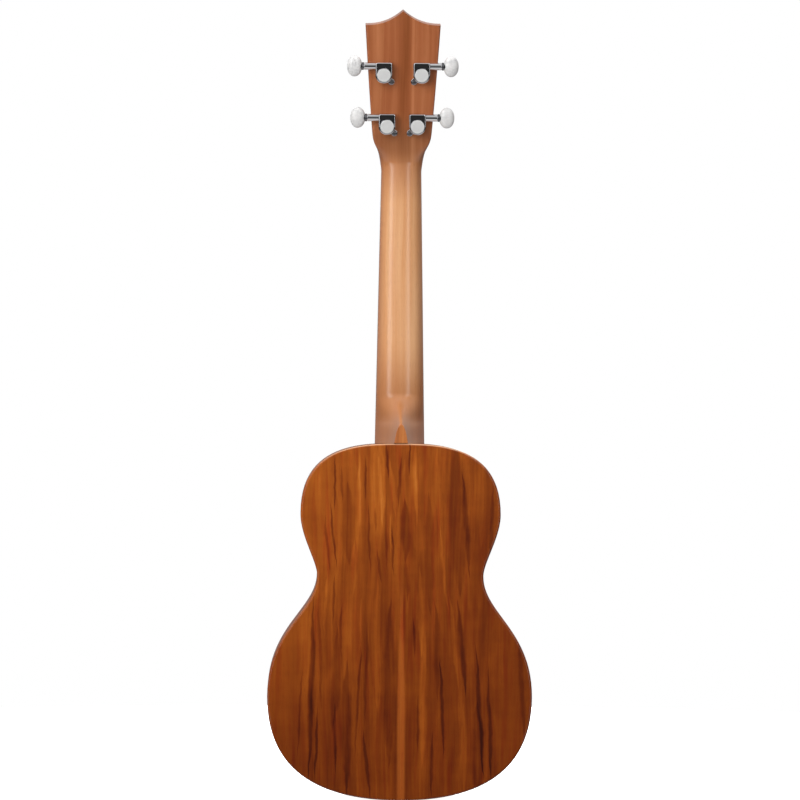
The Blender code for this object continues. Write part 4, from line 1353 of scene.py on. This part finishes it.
def build_bushing(label, frame):
    """A threaded sleeve with a washer and a chamfered hexagon on the headstock's face."""
    bm = bmesh.new()
    profile = ((3.1, -14.0), (3.1, -6.0), (4.2, -6.0), (4.2, -13.3), (6.0, -13.1), (6.0, -13.75), (5.8, -13.95))
    hollow(bm, profile, 56, frame)
    add(label + "_sleeve", bm, CHROME, nodes=(label + "_bushing",), sharp=35.0)
    bm = bmesh.new()
    count = 96
    loops = []
    for r_in, z in ((None, -13.96), (None, -15.3), (5.15, -16.15), (None, None)):
        loop = []
        for i in range(count):
            angle = math.tau * i / count
            flat = 4.85 / math.cos((angle % (math.pi / 3)) - math.pi / 6)
            if z is None:
                r, zz = 3.6, -16.2
            elif r_in is None:
                r, zz = flat, z + (0.0 if z > -15.0 else 0.55 * (flat - 4.85) / 0.75)
            else:
                r, zz = min(flat, r_in) - 0.35, z
            loop.append(Vector((r * math.cos(angle), r * math.sin(angle), zz)))
        loops.append(loop)
    loops.append([Vector((3.1 * math.cos(math.tau * i / count), 3.1 * math.sin(math.tau * i / count), -15.9))
                  for i in range(count)])
    loops.append([Vector((3.1 * math.cos(math.tau * i / count), 3.1 * math.sin(math.tau * i / count), -13.96))
                  for i in range(count)])
    stack(bm, [[frame @ p for p in loop] for loop in loops + [loops[0]]])
    add(label + "_hexagon", bm, CHROME, sharp=30.0)


def build_post(label, frame, body):
    bm = bmesh.new()
    profile = [(1.95, 6.9), (1.99, 6.0), (2.5, 6.0), (2.5, 2.5), (3.0, 2.5), (3.0, -17.0)]
    for k in range(13):
        t = k / 12
        profile.append((3.0 - 0.6 * math.sin(math.pi * t) ** 0.6, -17.2 - 6.0 * t))
    profile += [(3.0, -24.7), (2.9, -25.1), (2.6, -25.4), (2.2, -25.5), (0.9, -25.5), (0.6, -25.2)]
    lathe(bm, profile, 48, frame)
    post = add(label + "_string_post", bm, CHROME, body, (label + "_post",), 40.0)
    carve(post, [("DIFFERENCE", rod(0.85, (-4.0, 0, -21.6), (4.0, 0, -21.6), 24, frame))])


def build_button(label, knob, body):
    """An oval pearly grip, a little waisted at its mould line, on a dark collar."""
    bm = bmesh.new()
    around = 64
    along = 32
    loops = []
    for j in range(1, along):
        v = math.pi * j / along
        loop = []
        for i in range(around):
            u = math.tau * i / around
            z = -math.cos(v)
            ring = math.sin(v) ** 0.95
            cx = math.copysign(abs(math.cos(u)) ** 0.92, math.cos(u)) * ring ** 0.92
            cy = math.copysign(abs(math.sin(u)) ** 0.95, math.sin(u)) * ring ** 0.95
            loop.append(knob @ Vector((3.9 * cx, 9.1 * cy, BUTTON_X + 6.5 * z)))
        loops.append(loop)
    loft(bm, loops)
    add(label + "_grip", bm, PEARL, body, (label + "_button",), 60.0)
    bm = bmesh.new()
    hollow(bm, ((1.62, 17.4), (1.62, 20.4), (2.6, 20.4), (2.9, 19.6), (3.35, 19.0), (3.4, 18.6), (3.4, 17.8),
                (3.2, 17.45)), 48, knob)
    add(label + "_collar", bm, COLLAR, body, sharp=35.0)


head = Matrix.Translation((0.0, 0.0, HEAD_Z)) @ Matrix.Rotation(-TILT, 4, "X")
for name, x, s in TUNERS:
    label = "tuner_" + name
    out = 1.0 if x < 0 else -1.0
    frame_at = head @ Matrix.Translation((x, HEAD_T, s)) @ Matrix.Rotation(math.pi, 4, "Y")
    frame_at = frame_at @ Matrix.Rotation(-math.pi / 2, 4, "X")
    knob_at = frame_at @ Matrix.Translation((0.0, WORM_OFF, WORM_H))
    knob_at = knob_at @ Matrix.Rotation(out * math.pi / 2, 4, "Y")
    build_housing(label, frame_at, knob_at, out)
    build_cap(label, frame_at)
    build_screw(label, frame_at @ Matrix.Translation((-6.65 * out, -6.65, 0.0)))
    build_bushing(label, frame_at)
    build_post(label, frame_at, name + "_winder")
    build_button(label, knob_at, name + "_knob")

# CAD nodes that stay get the finishes above
for name, node in frame["nodes"].items():
    if node.hide_render:
        continue
    finish = BRASS if name.endswith("_gear") else STEEL if name.endswith("_worm_shaft") else INNER_WOOD
    for held in node.material_slots:
        held.material = finish


# ---------------------------------------------------------------- floor, light and camera

FLOOR_Z = -0.5472
FLOOR_R = 1.15
# Brightness of the room from straight down, 0, through the horizon, 0.5, to straight up, 1
ROOM = ((0.0, 0.80), (0.16, 0.62), (0.25, 0.03), (0.40, 0.03), (0.50, 0.10), (0.62, 0.26), (0.80, 0.50),
        (1.0, 0.95))
BACKDROP = 0.12


def studio_white():
    g = Graph("studio_white")
    x, y, z = g.place()
    cloud = g.noise(g.vector(x / 400.0, y / 400.0), 1.0, 2.0)
    return g.set(Base_Color=(0.9, 0.9, 0.9, 1.0), Roughness=0.75 + cloud * 0.05,
                 Emission_Color=(1.0, 1.0, 1.0, 1.0), Emission_Strength=1.0)


def build_floor():
    """A round white floor that the object stands on, left out of its reflections and bounced light."""
    bm = bmesh.new()
    ring = [bm.verts.new(point) for point in circle(FLOOR_R, FLOOR_Z, 96)]
    bm.faces.new(ring)
    mesh = bpy.data.meshes.new("floor")
    bm.to_mesh(mesh)
    bm.free()
    mesh.materials.append(studio_white())
    floor = bpy.data.objects.new("floor", mesh)
    floor.visible_diffuse = False
    floor.visible_glossy = False
    bpy.context.scene.collection.objects.link(floor)


def area(name, place, target, width, height, power, mirrored=True):
    """A soft box; one that isn't mirrored lights the object without showing in its gloss."""
    lamp = bpy.data.lights.new(name, "AREA")
    lamp.shape = "RECTANGLE"
    lamp.size = width
    lamp.size_y = height
    lamp.energy = power
    holder = bpy.data.objects.new(name, lamp)
    bpy.context.scene.collection.objects.link(holder)
    holder.location = place
    holder.rotation_euler = (Vector(target) - Vector(place)).to_track_quat("-Z", "Y").to_euler()
    holder.visible_glossy = mirrored


def build_world():
    """White behind the object; for its light and reflections a soft room, brighter above than below."""
    world = bpy.data.worlds.new("studio")
    bpy.context.scene.world = world
    world.use_nodes = True
    tree = world.node_tree
    tree.nodes.clear()
    out = tree.nodes.new("ShaderNodeOutputWorld")
    seen = tree.nodes.new("ShaderNodeBackground")
    seen.inputs["Color"].default_value = (1.0, 1.0, 1.0, 1.0)
    seen.inputs["Strength"].default_value = 1.0
    room = tree.nodes.new("ShaderNodeBackground")
    room.inputs["Strength"].default_value = 1.0
    coords = tree.nodes.new("ShaderNodeTexCoord")
    split = tree.nodes.new("ShaderNodeSeparateXYZ")
    height = tree.nodes.new("ShaderNodeMapRange")
    height.inputs["From Min"].default_value = -1.0
    ramp = tree.nodes.new("ShaderNodeValToRGB")
    steps = ramp.color_ramp.elements
    while len(steps) < len(ROOM):
        steps.new(0.5)
    for step, (place, level) in zip(steps, ROOM):
        step.position = place
        step.color = (level, level, level, 1.0)
    tree.links.new(coords.outputs["Generated"], split.inputs[0])
    tree.links.new(split.outputs["Z"], height.inputs["Value"])
    tree.links.new(height.outputs["Result"], ramp.inputs[0])
    # A bright backdrop in front of the object, which only grazing surfaces mirror
    behind = tree.nodes.new("ShaderNodeMapRange")
    behind.interpolation_type = "SMOOTHSTEP"
    behind.inputs["From Min"].default_value = -0.55
    behind.inputs["From Max"].default_value = -0.95
    behind.inputs["To Max"].default_value = BACKDROP
    both_ways = tree.nodes.new("ShaderNodeMix")
    both_ways.data_type = "RGBA"
    both_ways.blend_type = "ADD"
    both_ways.inputs["Factor"].default_value = 1.0
    tree.links.new(split.outputs["Y"], behind.inputs["Value"])
    tree.links.new(ramp.outputs["Color"], both_ways.inputs["A"])
    tree.links.new(behind.outputs["Result"], both_ways.inputs["B"])
    tree.links.new(both_ways.outputs["Result"], room.inputs["Color"])
    path = tree.nodes.new("ShaderNodeLightPath")
    both = tree.nodes.new("ShaderNodeMixShader")
    tree.links.new(path.outputs["Is Camera Ray"], both.inputs[0])
    tree.links.new(room.outputs[0], both.inputs[1])
    tree.links.new(seen.outputs[0], both.inputs[2])
    tree.links.new(both.outputs[0], out.inputs["Surface"])


def build_light():
    build_world()
    area("key", (0.90, 1.50, 0.50), (0.0, 0.04, -0.10), 1.4, 1.4, 22.5, mirrored=False)
    area("strip_left", (1.20, 1.68, 0.35), (0.0, 0.0, -0.10), 0.58, 2.4, 13.0)
    area("strip_right", (-0.80, 1.90, 0.35), (0.0, 0.0, -0.10), 0.42, 2.4, 8.6)
    area("top", (0.0, 0.25, 1.5), (0.0, 0.04, 0.0), 1.6, 0.6, 11.0, mirrored=False)
    area("front_key", (-1.1, -1.5, 1.5), (0.0, 0.0, -0.2), 1.2, 1.2, 46.0, mirrored=False)
    area("front_fill", (1.6, -1.4, 0.1), (0.0, 0.0, -0.2), 0.8, 1.4, 16.0, mirrored=False)


def build_camera():
    """A long lens a little right of square to the back, with a slight roll."""
    yaw = 0.022
    pitch = -0.0005
    roll = 0.0065
    distance = 4.0
    right = Vector((-math.cos(yaw), math.sin(yaw), 0.0))
    back = Vector((math.sin(yaw) * math.cos(pitch), math.cos(yaw) * math.cos(pitch), -math.sin(pitch)))
    up = back.cross(right)
    data = bpy.data.cameras.new("view")
    data.sensor_width = 36.0
    data.lens = 205.7
    data.shift_x = 0.0002
    data.shift_y = -0.0028
    data.clip_start = 0.05
    data.clip_end = 50.0
    holder = bpy.data.objects.new("view", data)
    bpy.context.scene.collection.objects.link(holder)
    place = Matrix((right, up, back)).transposed().to_4x4()
    place = Matrix.Translation(Vector((0.0, 0.0, -0.2)) + back * distance) @ place
    holder.matrix_world = place @ Matrix.Rotation(roll, 4, "Z")
    bpy.context.scene.camera = holder


build_floor()
build_light()
build_camera()
bpy.context.scene.view_settings.view_transform = "Standard"
bpy.context.scene.view_settings.look = "None"
